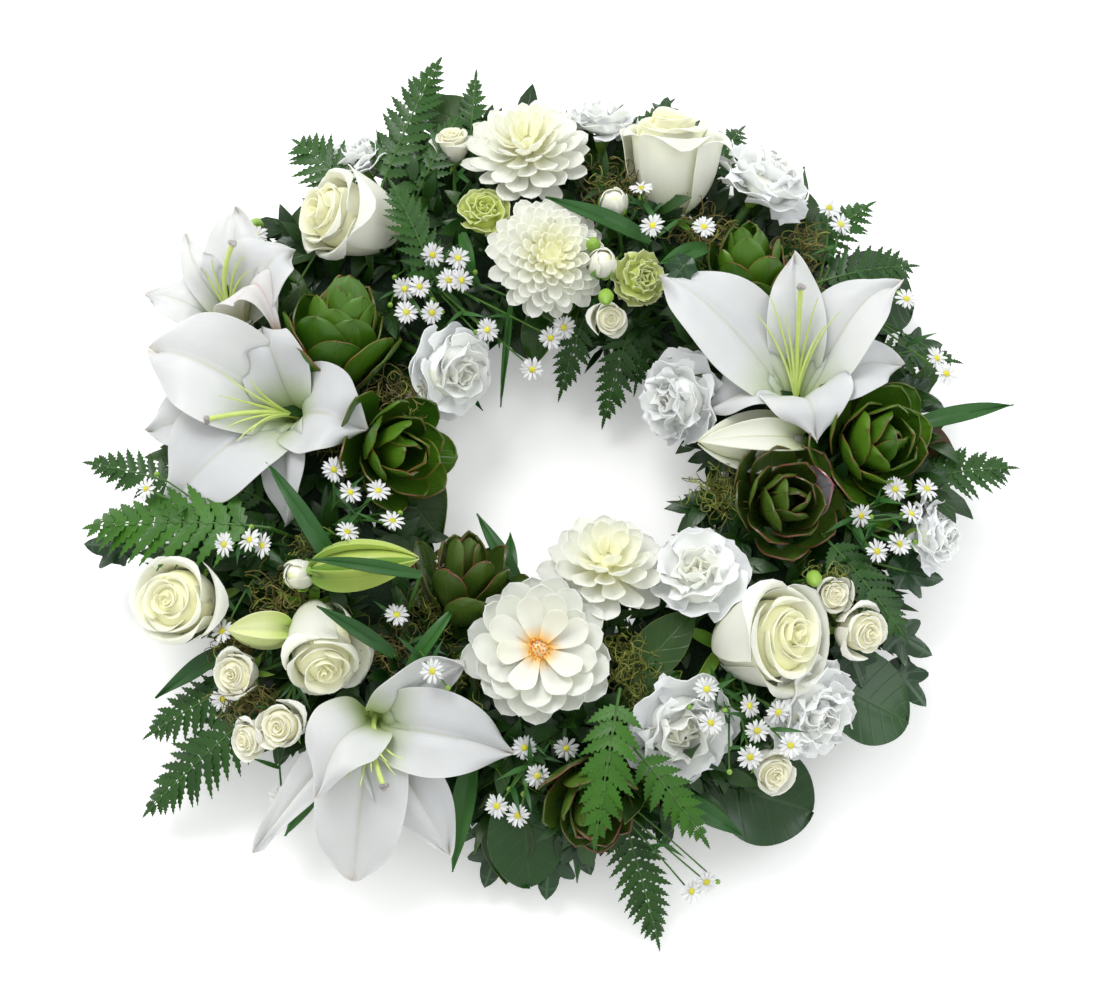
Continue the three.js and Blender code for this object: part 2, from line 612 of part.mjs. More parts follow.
const carn = (name, across, place, finish = WHITE) =>
  plant(name, ruffled({ across, outer: 6, tuft: 0 }), place, finish);
carn("green_carnation_left", 40, facing([-36, 132, 78], 90, 15), LIME);
carn("green_carnation_right", 40, facing([52, 94, 78], 330, 25), LIME);
carn("carnation_upper_right", 50, facing([123, 159, 62], 45, 45));
carn("carnation_inner_right", 48, facing([73, 30, 62], 205, 50));
carn("carnation_lower_right", 46, facing([142, -142, 60], 312, 50));
carn("carnation_right", 38, facing([209, -46, 54], 350, 60));
carn("carnation_upper_left", 38, facing([-107, 176, 54], 120, 50));
carn("carnation_top", 38, facing([32, 200, 54], 85, 55));

// Sprays
const small = (at, across, toward, lean, open = true) => {
  return { flower: sprayRose({ across, open }), at, toward, lean };
};
plantSpray(
  "spray_rose_left",
  [
    small([-162, -127, 64], 25, 215, 40),
    small([-146, -142, 70], 24, 230, 35),
    small([-155, -156, 58], 22, 230, 55),
    small([-150, -82, 76], 15, 200, 20, false),
  ],
  { fork: [-130, -112, 54] },
  CREAM,
);
plantSpray(
  "spray_rose_top",
  [
    small([37, 141, 80], 15, 80, 20, false),
    small([31, 100, 92], 16, 60, 15, false),
    small([34, 76, 74], 22, 300, 30),
  ],
  { fork: [42, 118, 56] },
  CREAM,
);
plantSpray(
  "spray_rose_right",
  [small([167, -101, 62], 28, 330, 40), small([150, -80, 72], 22, 330, 25)],
  { fork: [143, -78, 54] },
  CREAM,
);
plantSpray("spray_rose_lower_right", [small([117, -175, 54], 24, 300, 45)], { fork: [104, -146, 53] }, CREAM);
plantSpray(
  "spray_rose_upper_left",
  [small([-53, 182, 66], 20, 100, 35, false)],
  { fork: [-52, 150, 54] },
  CREAM,
);

/** Asters of a spray, each leaning away from the ring's middle line. */
function asters(height, spots, across = 13) {
  return spots.map(([x, y, z = height]) => {
    const outward = Math.hypot(x, y) > RING_RADIUS;
    const toward = THREE.MathUtils.radToDeg(Math.atan2(y, x)) + (outward ? 0 : 180);
    return { flower: aster({ across }), at: [x, y, z], toward, lean: 18 };
  });
}
plantSpray(
  "asters_upper_left",
  [
    ...asters(82, [[-63, 106], [-78, 86], [-70, 87], [-77, 72], [-63, 72], [-54, 91], [-47, 91], [-49, 104]]),
    ...asters(74, [[-33, 65], [-9, 43, 60]]),
  ],
  { fork: [-72, 108, 56] },
  WHITE,
);
plantSpray(
  "asters_left",
  asters(86, [[-114, -20], [-105, -33], [-90, -32], [-106, -55], [-82, -49]]),
  { fork: [-118, -42, 56] },
  WHITE,
);
plantSpray(
  "asters_far_left",
  asters(74, [[-173, -60], [-159, -50], [-152, -60], [-215, -27], [-172, -106]]),
  { fork: [-150, -62, 55] },
  WHITE,
);
plantSpray("asters_top", asters(90, [[51, 144], [58, 128], [86, 128]]), { fork: [62, 136, 56] }, WHITE);
plantSpray(
  "asters_bottom",
  [
    ...asters(66, [[-26, -198], [-15, -203], [-12, -167], [-5, -182], [10, -167]]),
    ...asters(34, [[84, -232], [76, -237]]),
  ],
  { fork: [0, -160, 55] },
  WHITE,
);
plantSpray(
  "asters_lower_right",
  asters(84, [[85, -158], [105, -149], [109, -162], [105, -176], [120, -152], [126, -170]]),
  { fork: [98, -132, 56] },
  WHITE,
);
plantSpray(
  "asters_right",
  asters(74, [[187, -27], [204, -27], [195, -41], [176, -62], [188, -58], [168, -42]]),
  { fork: [160, -40, 56] },
  WHITE,
);
plantSpray(
  "asters_upper_right",
  asters(64, [[158, 142], [164, 132], [199, 87], [219, 43], [214, 52]]),
  { fork: [150, 96, 54] },
  WHITE,
);

// Foliage
const fern = (tip, width = 38, shape = {}) => ({ kind: frond, tip, width, ...shape });
const broad = (tip, width = 32, shape = {}) => ({ tip, width, ...shape });
const strap = (tip, width = 13, shape = {}) => ({ tip, width, strap: true, ...shape });

/** Plain leaves spread round a hub, `radius` from the middle of the ring at their tips. */
function filler(turn, offsets, radius, height, width) {
  return offsets.map((offset, i) => {
    const angle = radians(turn + offset);
    const reach = radius + (i % 2) * 5;
    const tip = [Math.cos(angle) * reach, Math.sin(angle) * reach, height];
    return broad(tip, width, { arch: 34, stations: 2 });
  });
}

const outerStems = [
  [16, [fern([254, -5, 45]), strap([257, 29, 52]), broad([223, 8, 30], 34)]],
  [
    42,
    [fern([202, 113, 52], 36), fern([182, 148, 48], 34), broad([206, 100, 24], 44), broad([145, 179, 32])],
  ],
  [82, [fern([70, 215, 40], 30)]],
  [103, [broad([-72, 222, 28], 46), fern([-41, 227, 48]), fern([-63, 230, 58], 36), fern([-138, 187, 45])]],
  [186, [fern([-249, -2, 38], 36), fern([-252, -50, 46], 47)]],
  [210, [fern([-215, -191, 18], 40), strap([-208, -131, 38], 14), broad([-256, -48, 20], 30)]],
  [260, [strap([-49, -225, 30], 14), broad([-9, -229, 20], 34)]],
  [284, [fern([59, -258, 12], 40), fern([26, -214, 50], 34), fern([79, -209, 45], 34)]],
  [322, [broad([191, -126, 22], 48), broad([138, -184, 16], 44), strap([103, -207, 38], 14)]],
];
const innerStems = [
  [52, [fern([50, 54, 34], 28), fern([34, 36, 22], 30)]],
  [205, [broad([-59, -36, 30], 30), strap([-34, 34, 30], 12)]],
];
outerStems.forEach(([turn, features], i) => {
  const leaves = filler(turn, [-13, 11], 207, 18, 44);
  const finish = i === 4 ? LEAF_BRIGHT : LEAF;
  plantFoliage(`foliage_outer_${i + 1}`, turn, HUB_OUTSIDE, [...features, ...leaves], finish);
});
innerStems.forEach(([turn, features], i) => {
  const leaves = filler(turn, [-62, -36, -10, 16, 42, 66], 72, 26, 32);
  plantFoliage(`foliage_inner_${i + 1}`, turn, HUB_INSIDE, [...features, ...leaves], LEAF);
});

const bored = holes.reduce((rest, hole) => (meets(hole, rest) ? rest.subtract(hole) : rest), foamRing(0));
addNode("foam", largest(bored), FOAM);
addNode("tray", tray, TRAY);

// The origin goes to the middle of the footprint, at the bottom.
const extent = new THREE.Box3().setFromObject(wreath, true);
const middle = extent.getCenter(vec(0, 0, 0));
wreath.children.forEach((node) => node.position.sub(vec(middle.x, middle.y, extent.min.z)));

export default wreath;
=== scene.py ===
"""The looks of a funeral wreath of white flowers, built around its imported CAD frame.

The scene is in metres, +Z up. Sizes and places in the tables below are millimetres from the
middle of the ring.
"""

import functools
import logging
import math
import random
from collections.abc import Sequence
from dataclasses import dataclass, field
from enum import Enum

import bpy
import numpy as np
from mathutils import Matrix, Vector


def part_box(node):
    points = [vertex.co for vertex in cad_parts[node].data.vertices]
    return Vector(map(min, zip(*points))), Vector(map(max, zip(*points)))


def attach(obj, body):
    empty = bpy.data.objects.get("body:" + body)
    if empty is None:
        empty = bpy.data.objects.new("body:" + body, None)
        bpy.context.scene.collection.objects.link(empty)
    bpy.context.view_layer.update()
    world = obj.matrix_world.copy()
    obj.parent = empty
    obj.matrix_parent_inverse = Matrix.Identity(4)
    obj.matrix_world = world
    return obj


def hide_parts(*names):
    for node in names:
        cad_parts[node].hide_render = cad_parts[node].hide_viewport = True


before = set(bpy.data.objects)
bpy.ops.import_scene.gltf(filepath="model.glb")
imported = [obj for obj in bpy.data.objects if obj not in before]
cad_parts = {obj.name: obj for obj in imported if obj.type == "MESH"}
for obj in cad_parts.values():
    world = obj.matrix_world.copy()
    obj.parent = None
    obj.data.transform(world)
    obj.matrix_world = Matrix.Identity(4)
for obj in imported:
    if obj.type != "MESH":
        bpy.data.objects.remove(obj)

log = logging.getLogger("wreath")

MM = 0.001
GOLDEN_ANGLE = 137.508
RING_RADIUS = 137.0  # middle line of the foam
STEM_END_HEIGHT = 25.0  # stems point at the foam's middle line, at this height
STEM_DEPTH = 15.0
TABLE_EASE = 6.0  # what would hang lower than this bends to lie on the table

Point = tuple[float, float, float]
Colour = tuple[float, float, float]


# Finishes


class Graph:
    """A new material's nodes, added and linked one call at a time."""

    def __init__(self, name: str) -> None:
        """Starts an empty material.

        Args:
            name: The material's name.
        """
        self.material = bpy.data.materials.new(name)
        self.material.use_nodes = True
        self.tree = self.material.node_tree
        self.tree.nodes.clear()

    def add(self, kind: str, sockets: dict | None = None, **settings: object) -> bpy.types.Node:
        """Adds one node.

        Args:
            kind: The node's type, without the words ShaderNode in front.
            sockets: What goes into each input, by name or number: a number, a colour or another
                node's output.
            settings: The node's own properties.

        Returns:
            The new node.
        """
        node = self.tree.nodes.new("ShaderNode" + kind)
        for key, value in settings.items():
            setattr(node, key, value)
        for key, value in (sockets or {}).items():
            if isinstance(value, bpy.types.NodeSocket):
                self.tree.links.new(value, node.inputs[key])
            elif isinstance(value, tuple) and node.inputs[key].type == "RGBA":
                node.inputs[key].default_value = (*value, 1.0)
            else:
                node.inputs[key].default_value = value
        return node

    def math(self, operation: str, *values: object) -> bpy.types.NodeSocket:
        """The output of a Math node on these values."""
        node = self.add("Math", dict(enumerate(values)), operation=operation)
        return node.outputs[0]

    def blend(self, factor: object, first: object, second: object,
            mode: str = "MIX") -> bpy.types.NodeSocket:
        """The colour between two others.

        Args:
            factor: How much of the second.
            first: A colour.
            second: Another.
            mode: The Mix node's blend type.

        Returns:
            The mixed colour's socket.
        """
        node = self.add("Mix", {0: factor, 6: first, 7: second}, data_type="RGBA", blend_type=mode)
        return node.outputs[2]

    def ramp(self, factor: object, stops: Sequence[tuple[float, Colour]]) -> bpy.types.NodeSocket:
        """The output of a colour ramp with these stops.

        Args:
            factor: What runs along the ramp, from 0 to 1.
            stops: The place and the colour of each stop.

        Returns:
            The ramp's colour.
        """
        node = self.add("ValToRGB", {0: factor})
        elements = node.color_ramp.elements
        for position, _ in stops[2:]:
            elements.new(position)
        for element, (position, colour) in zip(elements, stops):
            element.position = position
            element.color = (*colour, 1.0)
        return node.outputs[0]

    def attribute(self, name: str) -> bpy.types.NodeSocket:
        """The value of a piece's own attribute."""
        return self.add("Attribute", attribute_name=name).outputs["Fac"]

    def noise(self, scale: float, detail: float = 3.0, vector: object = None) -> bpy.types.NodeSocket:
        """A noise value, on object coordinates unless another vector is given."""
        place = vector or self.add("TexCoord").outputs["Object"]
        return self.add("TexNoise", {"Vector": place, "Scale": scale, "Detail": detail}).outputs["Fac"]

    def close(self, shader: bpy.types.Node) -> bpy.types.Material:
        """Links the shader to the surface and returns the material.

        Args:
            shader: The output of the last shader.

        Returns:
            The material.
        """
        output = self.add("OutputMaterial")
        self.tree.links.new(shader.outputs[0], output.inputs["Surface"])
        return self.material


@dataclass(frozen=True)
class PetalLook:
    """Satin petals, coloured from root to tip and warmer towards the heart, with fine lengthwise veins."""

    name: str
    slot: str
    root: Colour
    body: Colour
    tip: Colour
    heart: Colour
    root_share: float = 0.25
    roughness: float = 0.5
    rib: Colour | None = None  # colour of a line down the middle

    def material(self) -> bpy.types.Material:
        """Builds the petal material.

        Returns:
            The material.
        """
        graph = Graph(self.name)
        uv = graph.add("TexCoord").outputs["UV"]
        parts = graph.add("SeparateXYZ", {0: uv})
        along, across = parts.outputs[0], parts.outputs[1]
        stops = [(0.0, self.root), (self.root_share, self.body), (0.9, self.body), (1.0, self.tip)]
        colour = graph.ramp(along, stops)
        colour = graph.blend(graph.attribute("depth"), colour, self.heart)
        off = graph.math("ABSOLUTE", graph.math("SUBTRACT", across, 0.5))
        if self.rib:
            line = graph.add("MapRange", {0: off, 1: 0.0, 2: 0.035, 3: 0.75, 4: 0.0}).outputs[0]
            fade = graph.add("MapRange", {0: along, 1: 0.05, 2: 1.0, 3: 1.0, 4: 0.25}).outputs[0]
            colour = graph.blend(graph.math("MULTIPLY", line, fade), colour, self.rib)
        stretched = graph.add("Mapping", {"Vector": uv, "Scale": (2.0, 55.0, 1.0)}).outputs[0]
        veins = graph.noise(1.0, 2.0, stretched)
        cloud = graph.noise(70.0, 3.0)
        value = graph.math("MULTIPLY_ADD", cloud, 0.09, 0.915)
        value = graph.math("MULTIPLY_ADD", veins, 0.05, value)
        value = graph.math("MULTIPLY_ADD", graph.attribute("tone"), 0.06, value)
        colour = graph.add("HueSaturation", {"Value": value, "Color": colour}).outputs[0]
        height = graph.math("MULTIPLY_ADD", veins, 0.7, graph.math("MULTIPLY", cloud, 0.6))
        bump = graph.add("Bump", {"Height": height, "Strength": 0.22, "Distance": 0.0006})
        rough = graph.math("MULTIPLY_ADD", cloud, 0.14, self.roughness - 0.07)
        inputs = {
            "Base Color": colour,
            "Roughness": rough,
            "Normal": bump.outputs[0],
            "Subsurface Weight": 0.5,
            "Subsurface Radius": (1.0, 1.0, 0.8),
            "Subsurface Scale": 0.004,
            "Sheen Weight": 0.1,
            "Specular IOR Level": 0.3,
        }
        return graph.close(graph.add("BsdfPrincipled", inputs))


@dataclass(frozen=True)
class LeafLook:
    """Waxy leaves: a paler midrib and side veins, blotched green, and a rim of its own colour."""

    name: str
    slot: str
    dark: Colour
    light: Colour
    vein: Colour
    rim: Colour | None = None
    pairs: float = 9.0  # side veins along the leaf
    slant: float = 2.2  # how far a side vein runs forward
    vein_share: float = 0.35
    roughness: float = 0.34
    coat: float = 0.25
    rim_width: float = 0.035

    def material(self) -> bpy.types.Material:
        """Builds the leaf material.

        Returns:
            The material.
        """
        graph = Graph(self.name)
        parts = graph.add("SeparateXYZ", {0: graph.add("TexCoord").outputs["UV"]})
        along, across = parts.outputs[0], parts.outputs[1]
        off = graph.math("ABSOLUTE", graph.math("SUBTRACT", across, 0.5))
        blotch = graph.noise(55.0, 4.0)
        mix = graph.math("MULTIPLY_ADD", graph.attribute("tone"), 0.75,
            graph.math("MULTIPLY_ADD", blotch, 0.7, -0.22))
        colour = graph.blend(graph.math("MAXIMUM", graph.math("MINIMUM", mix, 1.0), 0.0), self.dark,
            self.light)
        rib = graph.add("MapRange", {0: off, 1: 0.0, 2: 0.03, 3: 1.0, 4: 0.0}).outputs[0]
        run = graph.math("SUBTRACT", graph.math("MULTIPLY", along, self.pairs),
            graph.math("MULTIPLY", off, self.slant))
        wave = graph.math("ABSOLUTE", graph.math("SUBTRACT", graph.math("FRACT", run), 0.5))
        side = graph.add("MapRange", {0: wave, 1: 0.0, 2: 0.09, 3: 0.6, 4: 0.0}).outputs[0]
        veins = graph.math("MAXIMUM", rib, side)
        colour = graph.blend(graph.math("MULTIPLY", veins, self.vein_share), colour, self.vein)
        if self.rim:
            edge = graph.add("MapRange", {0: off, 1: 0.5 - self.rim_width, 2: 0.5, 3: 0.0,
                4: 1.0}).outputs[0]
            tip = graph.add("MapRange", {0: along, 1: 0.95, 2: 0.99, 3: 0.0, 4: 1.0}).outputs[0]
            patch = graph.add("MapRange", {0: graph.noise(28.0), 1: 0.42, 2: 0.62, 3: 0.15,
                4: 0.75}).outputs[0]
            colour = graph.blend(graph.math("MULTIPLY", graph.math("MAXIMUM", edge, tip), patch), colour,
                self.rim)
        height = graph.math("MULTIPLY_ADD", veins, -0.8, blotch)
        bump = graph.add("Bump", {"Height": height, "Strength": 0.35, "Distance": 0.0007})
        rough = graph.math("MULTIPLY_ADD", blotch, 0.2, self.roughness - 0.1)
        inputs = {
            "Base Color": colour,
            "Roughness": rough,
            "Normal": bump.outputs[0],
            "Coat Weight": self.coat,
            "Coat Roughness": 0.22,
            "Specular IOR Level": 0.35,
        }
        return graph.close(graph.add("BsdfPrincipled", inputs))


@dataclass(frozen=True)
class GrainLook:
    """Stems, moss, pollen, foam and plastic: two colours in a grain of one size."""

    name: str
    slot: str
    first: Colour
    second: Colour
    scale: float = 300.0
    roughness: float = 0.6
    bump: float = 0.4
    depth: float = 0.0006

    def material(self) -> bpy.types.Material:
        """Builds the grained material.

        Returns:
            The material.
        """
        graph = Graph(self.name)
        grain = graph.noise(self.scale, 4.0)
        mix = graph.math("MULTIPLY_ADD", graph.attribute("tone"), 0.7,
            graph.math("MULTIPLY_ADD", grain, 1.2, -0.45))
        colour = graph.blend(graph.math("MAXIMUM", graph.math("MINIMUM", mix, 1.0), 0.0), self.first,
            self.second)
        bump = graph.add("Bump", {"Height": grain, "Strength": self.bump, "Distance": self.depth})
        rough = graph.math("MULTIPLY_ADD", grain, 0.2, self.roughness - 0.1)
        inputs = {"Base Color": colour, "Roughness": rough, "Normal": bump.outputs[0]}
        return graph.close(graph.add("BsdfPrincipled", inputs))


@dataclass(frozen=True)
class FloorLook:
    """The studio's white ground, which glows a little so that only deep shade shows on it."""

    name: str
    slot: str
    glow: float = 0.26

    def material(self) -> bpy.types.Material:
        """Builds the floor material.

        Returns:
            The material.
        """
        graph = Graph(self.name)
        inputs = {
            "Base Color": (0.95, 0.95, 0.95),
            "Roughness": 0.9,
            "Specular IOR Level": 0.1,
            "Emission Color": (1.0, 1.0, 1.0),
            "Emission Strength": self.glow,
        }
        return graph.close(graph.add("BsdfPrincipled", inputs))


class Finish(Enum):
    """Every finish on the wreath."""

    # Painted shade: the lilies' grey body colours make white tepals darker than the other white petals, so
    # their broad faces turned to the light keep some shading.
    LILY = PetalLook("lily_satin", "white_petal", (0.3, 0.44, 0.05), (0.62, 0.63, 0.62), (0.66, 0.62, 0.56),
                     (0.7, 0.75, 0.4), 0.38, 0.42, (0.46, 0.5, 0.34))
    LILY_BLUSH = PetalLook("lily_blush", "white_petal", (0.4, 0.44, 0.14), (0.66, 0.63, 0.6),
        (0.5, 0.34, 0.22),
                           (0.7, 0.75, 0.4), 0.3, 0.42, (0.55, 0.14, 0.12))
    WHITE = PetalLook("white_ruffle", "white_petal", (0.82, 0.85, 0.64), (0.93, 0.95, 0.95),
        (0.94, 0.96, 0.97),
                      (0.9, 0.91, 0.76), 0.3)
    DAHLIA = PetalLook("ivory_dahlia", "ivory_petal", (0.84, 0.83, 0.46), (0.93, 0.94, 0.84),
        (0.94, 0.94, 0.89),
                       (0.92, 0.91, 0.6), 0.4)
    OPEN_DAHLIA = PetalLook("white_dahlia", "white_petal", (0.92, 0.46, 0.01), (0.83, 0.85, 0.76),
        (0.85, 0.86, 0.83),
                            (0.9, 0.78, 0.36), 0.26)
    ROSE = PetalLook("ivory_rose", "ivory_petal", (0.74, 0.8, 0.4), (0.9, 0.91, 0.75), (0.91, 0.92, 0.84),
                     (0.92, 0.9, 0.56), 0.45, 0.48)
    SPRAY_ROSE = PetalLook("cream_rose", "cream_petal", (0.76, 0.8, 0.44), (0.92, 0.92, 0.78),
        (0.94, 0.94, 0.86),
                           (0.9, 0.86, 0.58), 0.4)
    LIME = PetalLook("lime_petal", "lime_petal", (0.4, 0.52, 0.08), (0.6, 0.68, 0.2), (0.74, 0.78, 0.42),
                     (0.5, 0.6, 0.08), 0.3)
    BUD_GREEN = PetalLook("green_bud", "bud_green", (0.14, 0.28, 0.03), (0.4, 0.52, 0.1),
        (0.48, 0.55, 0.14),
                          (0.6, 0.66, 0.3), 0.4, 0.36, (0.2, 0.36, 0.05))
    BUD_PALE = PetalLook("pale_bud", "bud_green", (0.3, 0.45, 0.06), (0.64, 0.7, 0.32), (0.78, 0.8, 0.5),
                         (0.6, 0.66, 0.3), 0.4, 0.42)
    BUD_WHITE = PetalLook("white_bud", "white_petal", (0.4, 0.5, 0.16), (0.82, 0.83, 0.68),
        (0.72, 0.7, 0.36),
                          (0.8, 0.8, 0.6), 0.4, 0.42, (0.3, 0.42, 0.08))
    RAY = PetalLook("aster_ray", "white_petal", (0.8, 0.82, 0.7), (0.86, 0.86, 0.85), (0.88, 0.88, 0.88),
                    (0.85, 0.85, 0.8), 0.2, 0.55)
    BRACT = LeafLook("green_bract", "green_bract", (0.02, 0.08, 0.004), (0.095, 0.21, 0.012),
        (0.12, 0.22, 0.04),
                     (0.2, 0.05, 0.03), 2.0, 6.0, 0.1, 0.34, 0.08, 0.014)
    BRACT_DARK = LeafLook("purple_bract", "purple_bract", (0.03, 0.06, 0.008), (0.085, 0.16, 0.016),
        (0.12, 0.12, 0.05),
                          (0.2, 0.03, 0.04), 2.0, 6.0, 0.15, 0.34, 0.1, 0.016)
    # Painted reflection: a pale grey-blue bract colour that stands for sky light shining off one bract.
    PAINTED_SHEEN = LeafLook("bract_painted_sheen", "purple_bract", (0.14, 0.12, 0.13), (0.36, 0.36, 0.38),
        (0.3, 0.1, 0.16),
                     (0.3, 0.03, 0.06), 2.0, 6.0, 0.2, 0.2, 0.5, 0.05)
    GLOSSY = LeafLook("glossy_leaf", "dark_leaf", (0.004, 0.026, 0.004), (0.015, 0.065, 0.009),
        (0.07, 0.13, 0.03),
                      None, 8.0, 3.0, 0.22, 0.24, 0.12)
    SALAL = LeafLook("broad_leaf", "dark_leaf", (0.009, 0.038, 0.002), (0.027, 0.085, 0.004),
        (0.08, 0.14, 0.025),
                     (0.28, 0.34, 0.06), 7.0, 3.0, 0.3, 0.34, 0.1, 0.02)
    BROWN_BACK = LeafLook("brown_leaf", "dark_leaf", (0.07, 0.035, 0.01), (0.14, 0.075, 0.022),
        (0.2, 0.14, 0.06))
    STRAP = LeafLook("strap_leaf", "bright_leaf", (0.008, 0.055, 0.008), (0.035, 0.14, 0.018),
        (0.07, 0.18, 0.05),
                     None, 1.0, 12.0, 0.4, 0.4, 0.1)
    FERN = LeafLook("fern_leaf", "dark_leaf", (0.004, 0.028, 0.002), (0.022, 0.095, 0.005),
        (0.05, 0.14, 0.02),
                    None, 7.0, 3.0, 0.35, 0.4, 0.08)
    FERN_BRIGHT = LeafLook("bright_fern", "bright_leaf", (0.01, 0.06, 0.001), (0.038, 0.15, 0.002),
        (0.09, 0.24, 0.015),
                           None, 7.0, 3.0, 0.3, 0.45, 0.03)
    IVY = LeafLook("ivy_leaf", "dark_leaf", (0.006, 0.03, 0.009), (0.016, 0.06, 0.016), (0.12, 0.2, 0.1),
                   None, 4.0, 3.0, 0.4, 0.3, 0.25)
    FILLER = LeafLook("small_leaf", "dark_leaf", (0.004, 0.024, 0.003), (0.024, 0.085, 0.009),
        (0.06, 0.13, 0.03),
                      None, 6.0, 3.0, 0.3, 0.36, 0.15)
    STEM = GrainLook("green_stem", "dark_leaf", (0.025, 0.09, 0.008), (0.075, 0.18, 0.02), 200.0, 0.5, 0.2)
    FILAMENT = GrainLook("pale_filament", "white_petal", (0.46, 0.6, 0.12), (0.66, 0.74, 0.28), 200.0, 0.4,
        0.1)
    STIGMA = GrainLook("grey_stigma", "white_petal", (0.22, 0.2, 0.2), (0.45, 0.42, 0.4), 500.0, 0.6, 0.5)
    SEPAL = GrainLook("bud_sepal", "bud_green", (0.1, 0.26, 0.02), (0.28, 0.46, 0.06), 150.0, 0.45, 0.2)
    POLLEN = GrainLook("aster_pollen", "cream_petal", (0.5, 0.45, 0.02), (0.76, 0.72, 0.08), 900.0, 0.8,
        0.8)
    ORANGE = GrainLook("dahlia_pollen", "cream_petal", (0.85, 0.16, 0.0), (0.98, 0.48, 0.01), 900.0, 0.8,
        0.8)
    MOSS = GrainLook("curly_moss", "dark_leaf", (0.06, 0.04, 0.012), (0.22, 0.19, 0.05), 120.0, 0.8, 0.2)
    MOSS_GREEN = GrainLook("green_moss", "dark_leaf", (0.08, 0.09, 0.01), (0.26, 0.28, 0.05), 120.0, 0.8,
        0.2)
    FOAM = GrainLook("floral_foam", "foam", (0.006, 0.02, 0.006), (0.014, 0.045, 0.014), 700.0, 0.95, 0.9,
        0.0012)
    TRAY = GrainLook("tray_plastic", "tray", (0.01, 0.026, 0.012), (0.014, 0.034, 0.016), 900.0, 0.5, 0.12)
    FLOOR = FloorLook("floor_white", "tray")

    @functools.cached_property
    def material(self) -> bpy.types.Material:
        """The finish's material, built the first time it is asked for."""
        return self.value.material()


# Shapes


@dataclass
class Shape:
    """A mesh as arrays in millimetres, ready to be copied into place."""

    places: np.ndarray
    corners: np.ndarray
    totals: np.ndarray
    uv: np.ndarray

    @classmethod
    def lifted(cls, obj: bpy.types.Object) -> "Shape":
        """Takes an object's mesh into arrays and removes the object.

        Args:
            obj: The finished object.

        Returns:
            Its shape.
        """
        mesh = obj.data
        places = np.zeros(len(mesh.vertices) * 3)
        corners = np.zeros(len(mesh.loops), np.int32)
        totals = np.zeros(len(mesh.polygons), np.int32)
        uv = np.zeros(len(mesh.loops) * 2)
        mesh.vertices.foreach_get("co", places)
        mesh.loops.foreach_get("vertex_index", corners)
        mesh.polygons.foreach_get("loop_total", totals)
        mesh.uv_layers[0].data.foreach_get("uv", uv)
        bpy.data.objects.remove(obj)
        bpy.data.meshes.remove(mesh)
        return cls(places.reshape(-1, 3), corners, totals, uv.reshape(-1, 2))


def smooth(values: Sequence, t: np.ndarray) -> np.ndarray:
    """A Bezier curve through control values.

    Args:
        values: Numbers or points.
        t: Where to read it, from 0 to 1.

    Returns:
        The curve's value at each t.
    """
    knots = np.array(values, float)
    last = len(knots) - 1
    weights = [math.comb(last, i) * t**i * (1 - t) ** (last - i) for i in range(last + 1)]
    return np.tensordot(np.array(weights).T, knots, 1)


def slope(values: Sequence, t: np.ndarray) -> np.ndarray:
    """The direction in which a Bezier curve runs at each t."""
    knots = np.array(values, float)
    return smooth(knots[1:] - knots[:-1], t)


def unit(vectors: np.ndarray) -> np.ndarray:
    """Vectors at length one."""
    return vectors / np.maximum(np.linalg.norm(vectors, axis=-1, keepdims=True), 1e-9)


